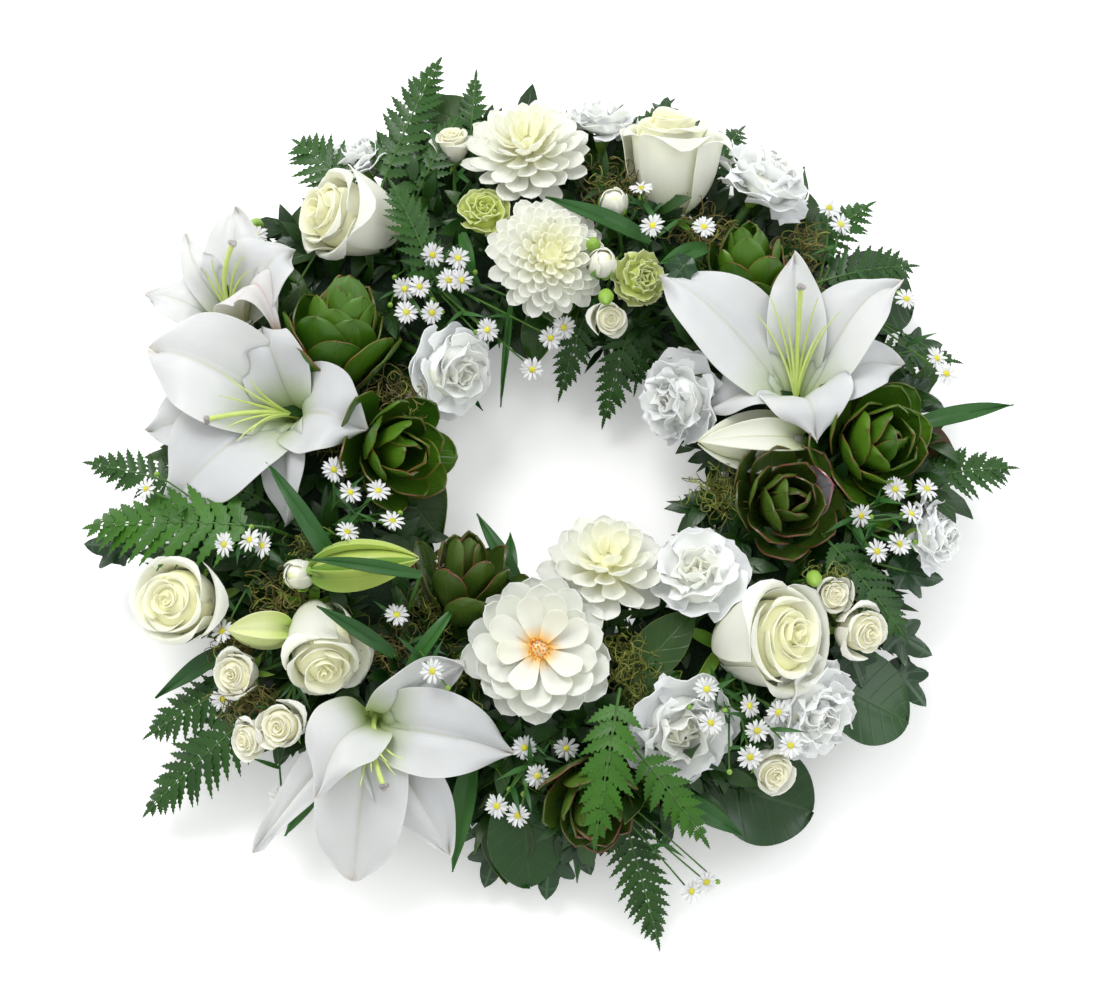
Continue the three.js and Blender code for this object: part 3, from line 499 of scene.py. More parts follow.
@dataclass(frozen=True)
class Blade:
    """A petal or leaf swept along a curved middle line, its inner face up. Millimetres and degrees.

    The outline and cup run from root to tip. A cup is half the angle that the width wraps round.
    """

    spine: tuple[Point, ...]
    width: float
    outline: tuple[float, ...] = (0.3, 0.9, 1.3, 1.0)
    blunt: float = 3.0  # how late the sides close on the tip, 0 for a tip as wide as the outline says
    point: float = 0.5  # 0.5 for a round tip, 1 and more for a pointed one
    cup: tuple[float, ...] = (30.0, 20.0)
    twist: tuple[float, ...] = (0.0, 0.0)
    ruffle: float = 0.0
    waves: float = 2.5
    frill: float = 0.0  # how far the tip's edge goes in and out, as a share of the length
    round_off: float = 0.0
    groove: float = 0.0
    teeth: float = 0.0  # how deep every other row of the margin is cut
    thickness: float = 0.5
    rows: int = 8
    columns: int = 6
    side: Point | None = (0.0, 1.0, 0.0)
    seed: int = 0

    def sweep(self, s: np.ndarray, v: np.ndarray) -> np.ndarray:
        """Where the sheet's points lie.

        Args:
            s: Along the sheet, from 0 to 1.
            v: Across it, from -1 to 1.

        Returns:
            One place for each point.
        """
        draw = random.Random(self.seed)
        phase = [draw.uniform(0, math.tau) for _ in range(6)]
        t = 1 - (1 - s) ** (1.3 if self.blunt else 1.0)
        parity = np.round(s * self.rows).astype(int) % 2
        edge = np.abs(v)
        reach = 1 - self.round_off * edge**2.5
        comb = np.sin(v * 9 + phase[4]) * 0.6 + np.sin(v * 17 + phase[5]) * 0.4
        reach = reach + self.frill * comb * t**2
        run = np.clip(t * reach, 0, 1.2)
        chord = np.array(self.spine[-1]) - np.array(self.spine[0])
        side = np.array(self.side) if self.side else unit(np.cross((0.0, 0.0, 1.0), chord))
        along = unit(slope(self.spine, run))
        side = unit(side - along * (along @ side)[:, None])
        normal = np.cross(along, side)
        roll = np.radians(smooth(self.twist, t))[:, None]
        cosine, sine = np.cos(roll), np.sin(roll)
        side, normal = side * cosine + normal * sine, normal * cosine - side * sine
        close = np.maximum(1 - t**self.blunt, 0) ** self.point if self.blunt else 1.0
        half = self.width / 2 * np.maximum(smooth(self.outline, t) * close, 0.025)
        half = half * (1 - self.teeth * (parity == 0) * edge)
        wrap = np.radians(smooth(self.cup, t))
        wrap = np.where(np.abs(wrap) < 0.01, 0.01, wrap)
        flank = np.where(v > 0, phase[0], phase[1])
        wavy = np.sin(math.tau * self.waves * t + flank) * edge**2 * t**0.6
        wavy = wavy + 0.8 * np.sin(v * self.waves * 2.2 + phase[2]) * t**4
        lift = half * (1 - np.cos(wrap * v)) / wrap + self.ruffle * wavy
        lift = lift - self.groove * np.exp(-((v / 0.16) ** 2)) * np.sin(math.pi * np.clip(t, 0, 1)) ** 0.6
        out = half * np.sin(wrap * v) / wrap
        ahead = self.teeth * (parity == 1) * edge * self.width * 0.16
        return smooth(self.spine, run) + side * out[:, None] + normal * lift[:, None] + along * ahead[:,
            None]


@dataclass(frozen=True)
class Wrap:
    """A rose petal that wraps part of the way round the flower's axis. Millimetres and degrees."""

    radii: tuple[float, ...]
    heights: tuple[float, ...]
    spread: float
    tuck: float = 1.2  # how far one side lies outside the other
    droop: float = 0.25  # how much lower its rim is at the sides
    ruffle: float = 0.6
    thickness: float = 0.6
    rows: int = 9
    columns: int = 12
    seed: int = 0

    def sweep(self, s: np.ndarray, v: np.ndarray) -> np.ndarray:
        """Where the sheet's points lie, as in Blade.sweep.

        Args:
            s: Along the sheet, from 0 to 1.
            v: Across it, from -1 to 1.

        Returns:
            One place for each point.
        """
        draw = random.Random(self.seed)
        phase = [draw.uniform(0, math.tau) for _ in range(3)]
        opening = 0.45 + 0.55 * np.sin(np.minimum(s * 1.4, 1) * math.pi / 2)
        angle = np.radians(self.spread) * v * opening
        run = s * (1 - self.droop * np.abs(v) ** 1.6)
        run = run + 0.03 * np.sin(v * 4 + phase[0]) * s**4
        radius = smooth(self.radii, run) + self.tuck * v * s + self.ruffle * np.sin(v * 4 + phase[1]) * s**3
        height = smooth(self.heights, run) + self.ruffle * np.sin(v * 3 + phase[2]) * s**3
        return np.stack([radius * np.cos(angle), radius * np.sin(angle), height], 1)


@functools.cache
def sheet(form: Blade | Wrap) -> Shape:
    """Models a petal or leaf from a flat grid, and gives it its thickness.

    Args:
        form: What the sheet is.

    Returns:
        The closed shape.
    """
    bpy.ops.object.select_all(action="DESELECT")
    bpy.ops.mesh.primitive_grid_add(x_subdivisions=form.rows, y_subdivisions=form.columns, size=2)
    obj = bpy.context.object
    flat = np.zeros(len(obj.data.vertices) * 3)
    obj.data.vertices.foreach_get("co", flat)
    flat = flat.reshape(-1, 3)
    obj.data.vertices.foreach_set("co", form.sweep((flat[:, 0] + 1) / 2, flat[:, 1]).ravel())
    bpy.ops.object.modifier_add(type="SOLIDIFY")
    wall = obj.modifiers[-1]
    wall.thickness = form.thickness
    wall.offset = 0
    bpy.ops.object.modifier_apply(modifier=wall.name)
    return Shape.lifted(obj)


@functools.cache
def egg(profile: tuple[tuple[float, float], ...], sides: int = 12, lobes: int = 0,
        lobe_depth: float = 0.0) -> Shape:
    """Models a round closed form such as a bud or button from a sphere.

    Args:
        profile: Control values of radius and height, from bottom to top.
        sides: Faces round it.
        lobes: Ribs round it.
        lobe_depth: How deep they are, as a share of the radius.

    Returns:
        The closed shape.
    """
    bpy.ops.object.select_all(action="DESELECT")
    rings = max(6, sides - 4)
    bpy.ops.mesh.primitive_uv_sphere_add(segments=sides, ring_count=rings, radius=1)
    obj = bpy.context.object
    ball = np.zeros(len(obj.data.vertices) * 3)
    obj.data.vertices.foreach_get("co", ball)
    ball = ball.reshape(-1, 3)
    t = 1 - np.arccos(np.clip(ball[:, 2], -1, 1)) / math.pi
    around = np.arctan2(ball[:, 1], ball[:, 0])
    across = np.hypot(ball[:, 0], ball[:, 1]) / np.maximum(np.sin(t * math.pi), 1e-6)
    radius = smooth([r for r, _ in profile], t) * np.minimum(across, 1)
    radius = radius * (1 + lobe_depth * (np.abs(np.cos(around * lobes / 2)) - 0.6) * np.sin(t * math.pi))
    height = smooth([h for _, h in profile], t)
    places = np.stack([radius * np.cos(around), radius * np.sin(around), height], 1)
    obj.data.vertices.foreach_set("co", places.ravel())
    return Shape.lifted(obj)


def tube(points: Sequence, radii: Sequence[float], sides: int = 6) -> Shape:
    """A closed round wire through points.

    Args:
        points: The places that it runs through.
        radii: Its radius at equal steps, smoothed.
        sides: Faces round it.

    Returns:
        The closed shape.
    """
    line = np.array(points, float)
    along = unit(np.gradient(line, axis=0))
    aside = np.cross(along, (0.31, 0.17, 0.94))
    aside = unit(np.where(np.linalg.norm(aside, axis=1, keepdims=True) < 0.05, (1.0, 0.0, 0.0), aside))
    other = np.cross(along, aside)
    width = smooth(radii, np.linspace(0, 1, len(line)))[:, None, None]
    turn = np.arange(sides) * math.tau / sides
    ring = aside[:, None] * np.cos(turn)[None, :, None] + other[:, None] * np.sin(turn)[None, :, None]
    places = (line[:, None] + ring * width).reshape(-1, 3)
    faces, uv = [], []
    for i in range(len(line) - 1):
        for k in range(sides):
            low, high = i * sides, (i + 1) * sides
            after = (k + 1) % sides
            faces.append((low + k, low + after, high + after, high + k))
            step = [(i, k), (i, k + 1), (i + 1, k + 1), (i + 1, k)]
            uv += [(a / (len(line) - 1), b / sides) for a, b in step]
    totals = [4] * len(faces) + [sides] * 2
    start = list(range(sides))[::-1]
    end = [(len(line) - 1) * sides + k for k in range(sides)]
    corners = [corner for face in faces for corner in face] + start + end
    uv += [(0.0, 0.5)] * sides + [(1.0, 0.5)] * sides
    return Shape(places, np.array(corners, np.int32), np.array(totals, np.int32), np.array(uv))


def curve(points: Sequence, steps: int) -> np.ndarray:
    """Places at equal steps on a Bezier curve."""
    return smooth(points, np.linspace(0, 1, steps))


def facing(at: Vector, along: Vector, up: Vector, size: Point = (1.0, 1.0, 1.0)) -> Matrix:
    """The matrix that lays a shape's +X along a direction, its +Z towards `up`.

    Args:
        at: Where its origin goes.
        along: Where +X points.
        up: Roughly where +Z points.
        size: Scale on its own axes.

    Returns:
        The matrix.
    """
    x = Vector(along).normalized()
    y = Vector(up).cross(x).normalized()
    turn = Matrix((x, y, x.cross(y))).transposed().to_4x4()
    return Matrix.Translation(Vector(at)) @ turn @ Matrix.Diagonal((*size, 1.0))


class Bunch:
    """Copies of shapes that become one piece."""

    def __init__(self) -> None:
        """Starts with nothing in it."""
        self.places: list[np.ndarray] = []
        self.corners: list[np.ndarray] = []
        self.totals: list[np.ndarray] = []
        self.uv: list[np.ndarray] = []
        self.tones: list[np.ndarray] = []
        self.depths: list[np.ndarray] = []
        self.looks: list[np.ndarray] = []
        self.finishes: list[Finish] = []
        self.count = 0

    def add(self, shape: Shape, finish: Finish, at: Matrix | None = None, tone: float = 0.5,
            depth: float = 0.0) -> None:
        """Adds one copy of a shape.

        Args:
            shape: What to copy.
            finish: Its finish.
            at: Where it goes, in millimetres from the ring's middle.
            tone: From 0 for the darker to 1 for the lighter of its kind.
            depth: From 0 at the outside of a flower to 1 at its heart.
        """
        matrix = np.array(at) if at is not None else np.eye(4)
        if finish not in self.finishes:
            self.finishes.append(finish)
        self.places.append(shape.places @ matrix[:3, :3].T + matrix[:3, 3])
        self.corners.append(shape.corners + self.count)
        self.totals.append(shape.totals)
        self.uv.append(shape.uv)
        size = len(shape.places)
        self.tones.append(np.full(size, tone))
        self.depths.append(np.full(size, depth))
        self.looks.append(np.full(len(shape.totals), self.finishes.index(finish), np.int32))
        self.count += size

    def piece(self, name: str, *nodes: str) -> bpy.types.Object:
        """Joins everything into one piece that rides on the wreath.

        Args:
            name: The piece's name.
            nodes: The CAD nodes that it stands for.

        Returns:
            The piece.
        """
        mesh = bpy.data.meshes.new(name)
        corners, totals = np.concatenate(self.corners), np.concatenate(self.totals)
        places = np.concatenate(self.places)
        low = places[:, 2] < TABLE_EASE
        places[low, 2] = TABLE_EASE * np.exp(places[low, 2] / TABLE_EASE - 1)
        mesh.vertices.add(self.count)
        mesh.vertices.foreach_set("co", (places * MM + np.array(RING_MIDDLE)).ravel())
        mesh.loops.add(len(corners))
        mesh.loops.foreach_set("vertex_index", corners)
        mesh.polygons.add(len(totals))
        mesh.polygons.foreach_set("loop_start", np.concatenate([[0], np.cumsum(totals)[:-1]]))
        mesh.polygons.foreach_set("material_index", np.concatenate(self.looks))
        mesh.uv_layers.new(name="along").data.foreach_set("uv", np.concatenate(self.uv).ravel())
        for key, values in (("tone", self.tones), ("depth", self.depths)):
            mesh.attributes.new(key, "FLOAT", "POINT").data.foreach_set("value", np.concatenate(values))
        for finish in self.finishes:
            mesh.materials.append(finish.material)
        mesh.validate()
        mesh.update(calc_edges=True)
        obj = bpy.data.objects.new(name, mesh)
        bpy.context.scene.collection.objects.link(obj)
        bpy.ops.object.select_all(action="DESELECT")
        obj.select_set(True)
        bpy.context.view_layer.objects.active = obj
        bpy.ops.object.shade_smooth_by_angle(angle=math.radians(50))
        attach(obj, "root")
        if nodes:
            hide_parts(*nodes)
        log.info("%s: %d faces", name, len(totals))
        return obj


def ring_middle() -> Vector:
    """The middle of the tray, on the surface it lies on.

    Returns:
        The middle's place in the scene.
    """
    low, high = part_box("tray")
    middle = (low + high) / 2
    return Vector((middle.x, middle.y, 0.0))


RING_MIDDLE = ring_middle()


# Flowers


@dataclass(frozen=True)
class Stance:
    """Where a flower's middle is and which way it faces: a compass angle, and how far it leans there."""

    at: Point
    toward: float = 0.0
    lean: float = 0.0
    spin: float = 0.0

    def matrix(self, centre: float = 0.0) -> Matrix:
        """The matrix that stands a flower's +Z along its facing, its middle `centre` above its base.

        Args:
            centre: How far the flower's middle is above its base.

        Returns:
            The flower's matrix.
        """
        turn = Matrix.Rotation(math.radians(self.toward), 4, "Z") @ Matrix.Rotation(math.radians(self.lean),
            4, "Y")
        turn = turn @ Matrix.Rotation(math.radians(self.spin - self.toward), 4, "Z")
        return Matrix.Translation(Vector(self.at)) @ turn @ Matrix.Translation((0, 0, -centre))


def foot_of(start: Vector) -> Vector:
    """Where a stem that comes from `start` ends in the foam.

    Args:
        start: Where the stem comes from.

    Returns:
        The stem's lower end.
    """
    turn = math.atan2(start.y, start.x)
    end = Vector((math.cos(turn) * RING_RADIUS, math.sin(turn) * RING_RADIUS, STEM_END_HEIGHT))
    return end + (start - end).normalized() * STEM_DEPTH


def around(degrees: float, out: float = 0.0, up: float = 0.0, roll: float = 0.0,
        pitch: float = 0.0) -> Matrix:
    """The matrix of a petal in a flower: turned about the axis, set out and up, rolled and pitched.

    Args:
        degrees: The turn about the flower's axis.
        out: How far the petal is from the axis.
        up: How far it is up the axis.
        roll: Its roll, in degrees.
        pitch: Its pitch, in degrees.

    Returns:
        The petal's matrix.
    """
    matrix = Matrix.Rotation(math.radians(degrees), 4, "Z") @ Matrix.Translation((out, 0, up))
    matrix = matrix @ Matrix.Rotation(math.radians(-pitch), 4, "Y")
    return matrix @ Matrix.Rotation(math.radians(roll), 4, "X")


@dataclass
class Flower:
    """One bloom on its own stem, in place of its CAD node."""

    node: str
    stance: Stance
    finish: Finish = Finish.WHITE
    seed: int = 1

    centre: float = field(default=0.0, kw_only=True)
    stem: float = field(default=2.6, kw_only=True)
    neck: float = field(default=-2.0, kw_only=True)

    def petals(self, bunch: Bunch, at: Matrix) -> None:
        """Adds the bloom's own parts. Each kind of flower has its own."""
        raise NotImplementedError

    def stem_top(self, at: Matrix) -> Vector:
        """Where the stem meets the bloom."""
        return at @ Vector((0, 0, self.neck))

    def build(self) -> bpy.types.Object:
        """Builds the bloom and its stem as one piece.

        Returns:
            The piece.
        """
        bunch = Bunch()
        at = self.stance.matrix(self.centre)
        self.petals(bunch, at)
        start = self.stem_top(at)
        bunch.add(tube([start, foot_of(start)], (self.stem, self.stem), 8), Finish.STEM)
        return bunch.piece(self.node + "_bloom", self.node)


@dataclass
class Rose(Flower):
    """A rose: petals wrapped round each other, the outer ones rolled back at the rim."""

    across: float = 50.0
    tall: float = 50.0
    openness: float = 1.0
    count: int = 18
    mesh: tuple[int, int] = (14, 12)

    def petals(self, bunch: Bunch, at: Matrix) -> None:
        """Adds the spiral of petals and the calyx.

        Args:
            bunch: The piece that it goes into.
            at: Where the flower stands, and which way it faces.
        """
        draw = random.Random(self.seed)
        a, h = self.across, self.tall
        core = ((0, 0.1 * h), (0.2 * a, 0.1 * h), (0.44 * a, 0.45 * h), (0.4 * a, 0.78 * h),
            (0.32 * a, 0.88 * h),
                (0, 0.92 * h))
        bunch.add(egg(core, 18), self.finish, at, 0.6, 0.8)
        for i in range(self.count):
            q = i / (self.count - 1)  # 0 outside, 1 at the heart
            rim = a * (0.61 - 0.56 * q**0.8) * (1 + (self.openness - 1) * (1 - q))
            band = a * (0.13 * (1 - q) ** 1.4 + 0.04)
            wall = max(rim - band, 0.02 * a)
            lip = h * (0.84 + 0.16 * q**0.55)
            roll = max(0.0, 0.55 - q) * 0.3 * h
            radii = (0.05 * a, 0.5 * wall, 1.3 * wall + 0.03 * a, wall * 1.04, wall * 0.96,
                rim - band * 0.3, rim)
            heights = (0.0, 0.01 * h + 2 * q, 0.28 * h, lip * 0.76, lip * 0.97, lip + roll * 0.35,
                lip - roll)
            form = Wrap(
                tuple(round(r, 2) for r in radii), tuple(round(z, 2) for z in heights), 62 + 43 * q**1.5,
                0.025 * a,
                0.32 - 0.1 * q, 0.02 * a * (1 - 0.6 * q), 0.4, *self.mesh, seed=self.seed + i,
            )
            turn = i * GOLDEN_ANGLE + draw.uniform(-12, 12)
            lean = Matrix.Rotation(math.radians(draw.uniform(-2, 5) * (1 - q)), 4, "Y")
            size = Matrix.Scale(draw.uniform(0.95, 1.05), 4)
            place = at @ Matrix.Rotation(math.radians(turn), 4, "Z") @ lean @ size
            bunch.add(sheet(form), self.finish, place, draw.random(), q)
        bunch.add(egg(((0, -4), (0.14 * a, -3), (0.2 * a, 0.0), (0.05 * a, 0.1 * h), (0, 0.12 * h))),
            Finish.SEPAL, at)
        for i in range(5):
            spine = ((0, 0, 0), (0.15 * a, 0, 0.0), (0.32 * a, 0, -0.02 * h), (0.42 * a, 0, -0.12 * h))
            sepal = Blade(spine, 0.16 * a, (0.5, 1.2, 0.8, 0.3), 3, 1, (20.0, 20.0), rows=6, columns=4)
            bunch.add(sheet(sepal), Finish.SEPAL, at @ around(i * 72 + 20, 0.04 * a, -1), draw.random())


@dataclass(frozen=True)
class Tepal:
    """One tepal of a lily, in place: where its tip is, how wide it is and how it bows.

    rise is where the middle line heads from the throat, over is the last bend before the tip; both are
    offsets.
    """

    tip: Point
    width: float
    rise: Point
    over: Point
    twist: tuple[float, ...] = (0.0, 0.0)
    cup: tuple[float, ...] = (70.0, 30.0, 12.0, -16.0)
    ruffle: float = 3.0
    outline: tuple[float, ...] = (0.3, 0.85, 1.35, 1.35, 0.85)
    point: float = 0.75
    level: float = 0.45  # how far its face turns from the throat to the sky
    finish: Finish = Finish.LILY


@dataclass
class Lily(Flower):
    """A lily trumpet: tepals placed one by one, a style and pale filaments."""

    throat: Point = (0.0, 0.0, 0.0)
    tepals: tuple[Tepal, ...] = ()
    style: Point = (0.0, 0.0, 0.0)
    filaments: tuple[Point, ...] = ()

    def stem_top(self, at: Matrix) -> Vector:
        """Where the stem meets the trumpet."""
        return Vector(self.throat) - at.to_3x3() @ Vector((0, 0, 24))

    def petals(self, bunch: Bunch, at: Matrix) -> None:
        """Adds the tepals, style and filaments.

        Args:
            bunch: The piece that it goes into.
            at: Where the flower stands, and which way it faces.
        """
        draw = random.Random(self.seed)
        throat = Vector(self.throat)
        axis = (at.to_3x3() @ Vector((0, 0, 1))).normalized()
        for number, tepal in enumerate(self.tepals):
            tip = Vector(tepal.tip)
            out = tip - throat
            flat = (out - axis * out.dot(axis)).normalized()
            root = throat - axis * 16 + flat * 3
            first = throat + Vector(tepal.rise)
            bend = tip + Vector(tepal.over)
            side = axis.cross(out).normalized().lerp(Vector((0, 0, 1)).cross(out).normalized(), tepal.level)
            spine = tuple(tuple(round(c, 2) for c in p) for p in (root, throat + flat * 5, first, bend,
                tip))
            form = Blade(
                spine, tepal.width, tepal.outline, 3.2, tepal.point, tepal.cup, tepal.twist, tepal.ruffle,
                2.2, groove=2.6, thickness=0.5, rows=30, columns=16, side=tuple(side),
                seed=self.seed * 10 + number,
            )
            bunch.add(sheet(form), tepal.finish, None, draw.uniform(0.2, 0.9), 0.0)
        base = throat - axis * 24
        bunch.add(tube([base, base + axis * 4, throat - axis * 15], (2.5, 4, 3.4), 10), Finish.BUD_GREEN,
            None, 0.6, 0.5)
        tip = Vector(self.style)
        line = curve([throat - axis * 14, throat + axis * 12, (throat + tip) / 2 + axis * 8, tip], 16)
        bunch.add(tube(line, (1.5, 1.2, 1.3, 1.5), 8), Finish.FILAMENT, None, 0.3)
        end = facing(tip, Vector(line[-1] - line[-2]), axis)
        for k in range(3):
            lobe = end @ Matrix.Rotation(k * math.tau / 3, 4, "X") @ Matrix.Translation((0.8, 0, 1.5))
            bunch.add(egg(((0, -1.8), (2.0, -1.6), (2.2, 0.8), (0, 1.6)), 10), Finish.STIGMA, lobe,
                draw.random())
        for target in self.filaments:
            end = Vector(target)
            mid = (throat + end) / 2 + axis * 9
            line = curve([throat - axis * 14, throat + axis * 4, mid, end], 14)
            bunch.add(tube(line, (1.0, 0.9, 0.7, 0.2), 6), Finish.FILAMENT, None, draw.uniform(0.2, 1))


@dataclass
class Dahlia(Flower):
    """A dahlia: spooned petals in a golden-angle spiral. Pairs of sizes run from the heart to the rim."""

    count: int = 60
    out: tuple[float, float] = (2.0, 11.0)
    height: float = 12.0
    length: tuple[float, float] = (9.0, 27.0)
    width: tuple[float, float] = (6.0, 15.0)
    pitch: tuple[float, float] = (72.0, -4.0)
    cup: tuple[float, float] = (70.0, 30.0)
    hollow: float = 0.0  # share of the spiral left out at the heart
    heart: float = 1.0
    pollen: float = 0.0

    def petals(self, bunch: Bunch, at: Matrix) -> None:
        """Adds the spiral of petals and what fills the heart.

        Args:
            bunch: The piece that it goes into.
            at: Where the flower stands, and which way it faces.
        """
        draw = random.Random(self.seed)
        start = int(self.hollow * self.count)
        for i in range(start, self.count):
            q = math.sqrt((i + 0.5) / self.count)
            level = round(q * 7) / 7
            length, width, cup = (a + (b - a) * level for a, b in (self.length, self.width, self.cup))
            bow = length * (0.16 + 0.1 * (1 - level))
            spine = ((0, 0, 0), (length * 0.3, 0, -bow * 0.7), (length * 0.75, 0, -bow * 0.2),
                (length, 0, bow * 0.8))
            spine = tuple(tuple(round(c, 2) for c in p) for p in spine)
            outline = (0.42, 0.75, 1.25, 1.18)
            form = Blade(
                spine, round(width, 2), outline, 4.5, 0.62, (cup * 1.15, cup, cup * 0.7),
                ruffle=width * 0.03,
                waves=1.3, groove=width * 0.02, thickness=0.45, rows=8, columns=6, seed=i % 3,
            )
            pitch = self.pitch[0] + (self.pitch[1] - self.pitch[0]) * q + draw.uniform(-5, 5)
            out = self.out[0] + (self.out[1] - self.out[0]) * q
            turn = i * GOLDEN_ANGLE + draw.uniform(-5, 5)
            place = around(turn, out, self.height * (1 - q * q), draw.uniform(-12, 12), pitch)
            size = Matrix.Scale(draw.uniform(0.93, 1.05), 4)
            depth = max(0.0, 1 - q * 1.5) * self.heart
            bunch.add(sheet(form), self.finish, at @ place @ size, draw.random(), depth)
        rim, top = self.out[1] * 1.6, self.height * 0.95
        dome = ((0, -7), (rim * 0.8, -6), (rim, 0), (rim * 0.6, top), (0, top))
        bunch.add(egg(dome, 16), self.finish, at, 0.4, 0.8)
        floret = egg(((0, -1), (0.7, -0.8), (0.75, 1.6), (0, 2.4)), 8)
        for i in range(int(self.pollen * 6)):
            q = math.sqrt(i / (self.pollen * 6))
            place = around(i * GOLDEN_ANGLE, q * self.pollen,
                self.height * 0.72 + 2 * (1 - q) + draw.uniform(-1, 1))
            tilt = Matrix.Rotation(math.radians(q * 28 + draw.uniform(-12, 12)), 4, "Y")
            bunch.add(floret, Finish.ORANGE, at @ place @ tilt, draw.random())


@dataclass
class Whorled(Flower):
    """A ruffled flower such as a lisianthus or carnation. Each ring of petals is:

    count, distance out, height, length, width, pitch, cup, depth.
    """

    rings: tuple[tuple[float, ...], ...] = ()
    ruffle: float = 2.4
    frill: float = 0.06
    columns: int = 12
    calyx: float = 6.0

    def stem_top(self, at: Matrix) -> Vector:
        """Where the stem meets the calyx."""
        return at @ Vector((0, 0, -2.4 * self.calyx))

    def petals(self, bunch: Bunch, at: Matrix) -> None:
        """Adds the rings of petals over a green calyx.

        Args:
            bunch: The piece that it goes into.
            at: Where the flower stands, and which way it faces.
        """
        draw = random.Random(self.seed)
        for ring, (count, out, up, length, width, pitch, cup, depth) in enumerate(self.rings):
            first = draw.uniform(0, 360)
            for i in range(int(count)):
                spine = ((0, 0, 0), (length * 0.35, 0, -length * 0.12), (length * 0.75, 0, 0),
                    (length, 0, length * 0.16))
                form = Blade(
                    spine, width, (0.22, 0.65, 1.15, 1.2), 0, 0.5, (cup * 1.3, cup, cup * 0.35),
                    ruffle=self.ruffle, waves=2.2, frill=self.frill, round_off=0.3,
                    thickness=0.4, rows=8, columns=self.columns, seed=self.seed * 7 + ring * 3 + i % 3,
                )
                turn = first + i * 360 / count + draw.uniform(-9, 9)
                place = around(turn, out, up + draw.uniform(-0.8, 0.8), 10 + draw.uniform(-9, 9),
                    pitch + draw.uniform(-8, 8))
                size = Matrix.Scale(draw.uniform(0.9, 1.06), 4)
                bunch.add(sheet(form), self.finish, at @ place @ size, draw.random(), depth)
        _, out, _, length, *_ = self.rings[0]
        _, _, up, rise, *_ = self.rings[-1]
        wide, top = out + 0.5 * length, up + 0.45 * rise
        dome = egg(((0, -3), (wide * 1.2, -3), (wide * 1.25, top * 0.5), (wide * 0.6, top), (0, top)), 16)
        bunch.add(dome, self.finish, at, 0.5, 0.4)
        c = self.calyx
        cup_form = egg(((0, -2.6 * c), (c * 0.5, -2.4 * c), (c * 0.9, -0.9 * c), (c * 0.8, -0.3 * c),
            (0, -0.3 * c)), 12)
        bunch.add(cup_form, Finish.SEPAL, at, 0.5)


@dataclass
class Leucadendron(Flower):
    """A leucadendron head: stiff bracts in a spiral, spread outside and closing over the cone."""

    across: float = 54.0
    tall: float = 58.0
    count: int = 19
    pitch: float = 44.0  # how steep the outermost bracts stand
    outer: float = 0.76  # their length as a share of the height
    painted_sheen_at: int = -1  # which bract is painted pale grey, a painted reflection of the sky on it

    def petals(self, bunch: Bunch, at: Matrix) -> None:
        """Adds the bracts and the cone.

        Args:
            bunch: The piece that it goes into.
            at: Where the flower stands, and which way it faces.
        """
        draw = random.Random(self.seed)
        r, h = self.across / 2, self.tall
        for i in range(self.count):
            q = i / (self.count - 1)  # 0 outside, 1 at the heart
            level = round(q * 5) / 5
            length = h * (self.outer + (0.7 - self.outer) * level)
            bow = length * (0.07 + 0.13 * level)
            spine = ((0, 0, 0), (length * 0.35, 0, -bow * 0.4), (length * 0.72, 0, bow * 0.1),
                (length * 0.98, 0, bow))
            spine = tuple(tuple(round(c, 2) for c in p) for p in spine)
            width = round(r * (0.94 - 0.2 * level), 2)
            form = Blade(
                spine, width, (0.6, 0.95, 1.25, 1.1), 3.4, 0.55, (30, 22 + 22 * level, 14 + 28 * level),
                ruffle=0.5, groove=0.3, thickness=0.9, rows=12, columns=8, seed=i % 3,
            )
            pitch = self.pitch + (82 - self.pitch) * q**1.1 + draw.uniform(-5, 5)
            place = around(i * GOLDEN_ANGLE, r * (0.28 - 0.16 * q), h * (0.02 + 0.24 * q),
                draw.uniform(-8, 8), pitch)
            size = Matrix.Scale(draw.uniform(0.92, 1.06), 4)
            # One bract takes the painted sheen: its pale grey colour stands for a reflection.
            finish = Finish.PAINTED_SHEEN if i == self.painted_sheen_at else self.finish
            bunch.add(sheet(form), finish, at @ place @ size, draw.uniform(0.0, 0.7) + 0.25 * q)
        cone = ((0, 0), (r * 0.3, 0), (r * 0.5, h * 0.3), (r * 0.3, h * 0.62), (0, h * 0.66))
        bunch.add(egg(cone, 14), self.finish, at, 0.2)


@dataclass
class Bud(Flower):
    """A closed bud, ribbed where its tepals meet."""

    across: float = 26.0
    tall: float = 56.0
    lobes: int = 6

    def petals(self, bunch: Bunch, at: Matrix) -> None:
        """Adds the folded tepals and a green foot.

        Args:
            bunch: The piece that it goes into.
            at: Where the flower stands, and which way it faces.
        """
        r, h = self.across / 2, self.tall
        core = ((0, 0), (r * 0.95, 0), (r * 1.4, h * 0.35), (r * 1.25, h * 0.8), (r * 0.1, h), (0, h))
        bunch.add(egg(core, 24, self.lobes, 0.03), self.finish, at, 0.5)
        half = self.lobes // 2
        for k in range(half):
            spine = ((r * 0.2, 0, h * 0.02), (r * 1.3, 0, h * 0.16), (r * 1.3, 0, h * 0.7),
                (r * 0.08, 0, h * 1.02))
            form = Blade(spine, r * 2.25, (0.5, 1.15, 1.2, 0.5), 3, 0.8, (-56, -64, -52), groove=0.7,
                         thickness=0.7, rows=18, columns=12)
            bunch.add(sheet(form), self.finish, at @ around(k * 360 / half), 0.3 + 0.2 * k)
        bunch.add(egg(((0, -3), (r * 0.4, -2), (r * 0.5, h * 0.06), (0, h * 0.1)), 10), Finish.SEPAL, at,
            0.6)


# Sprays


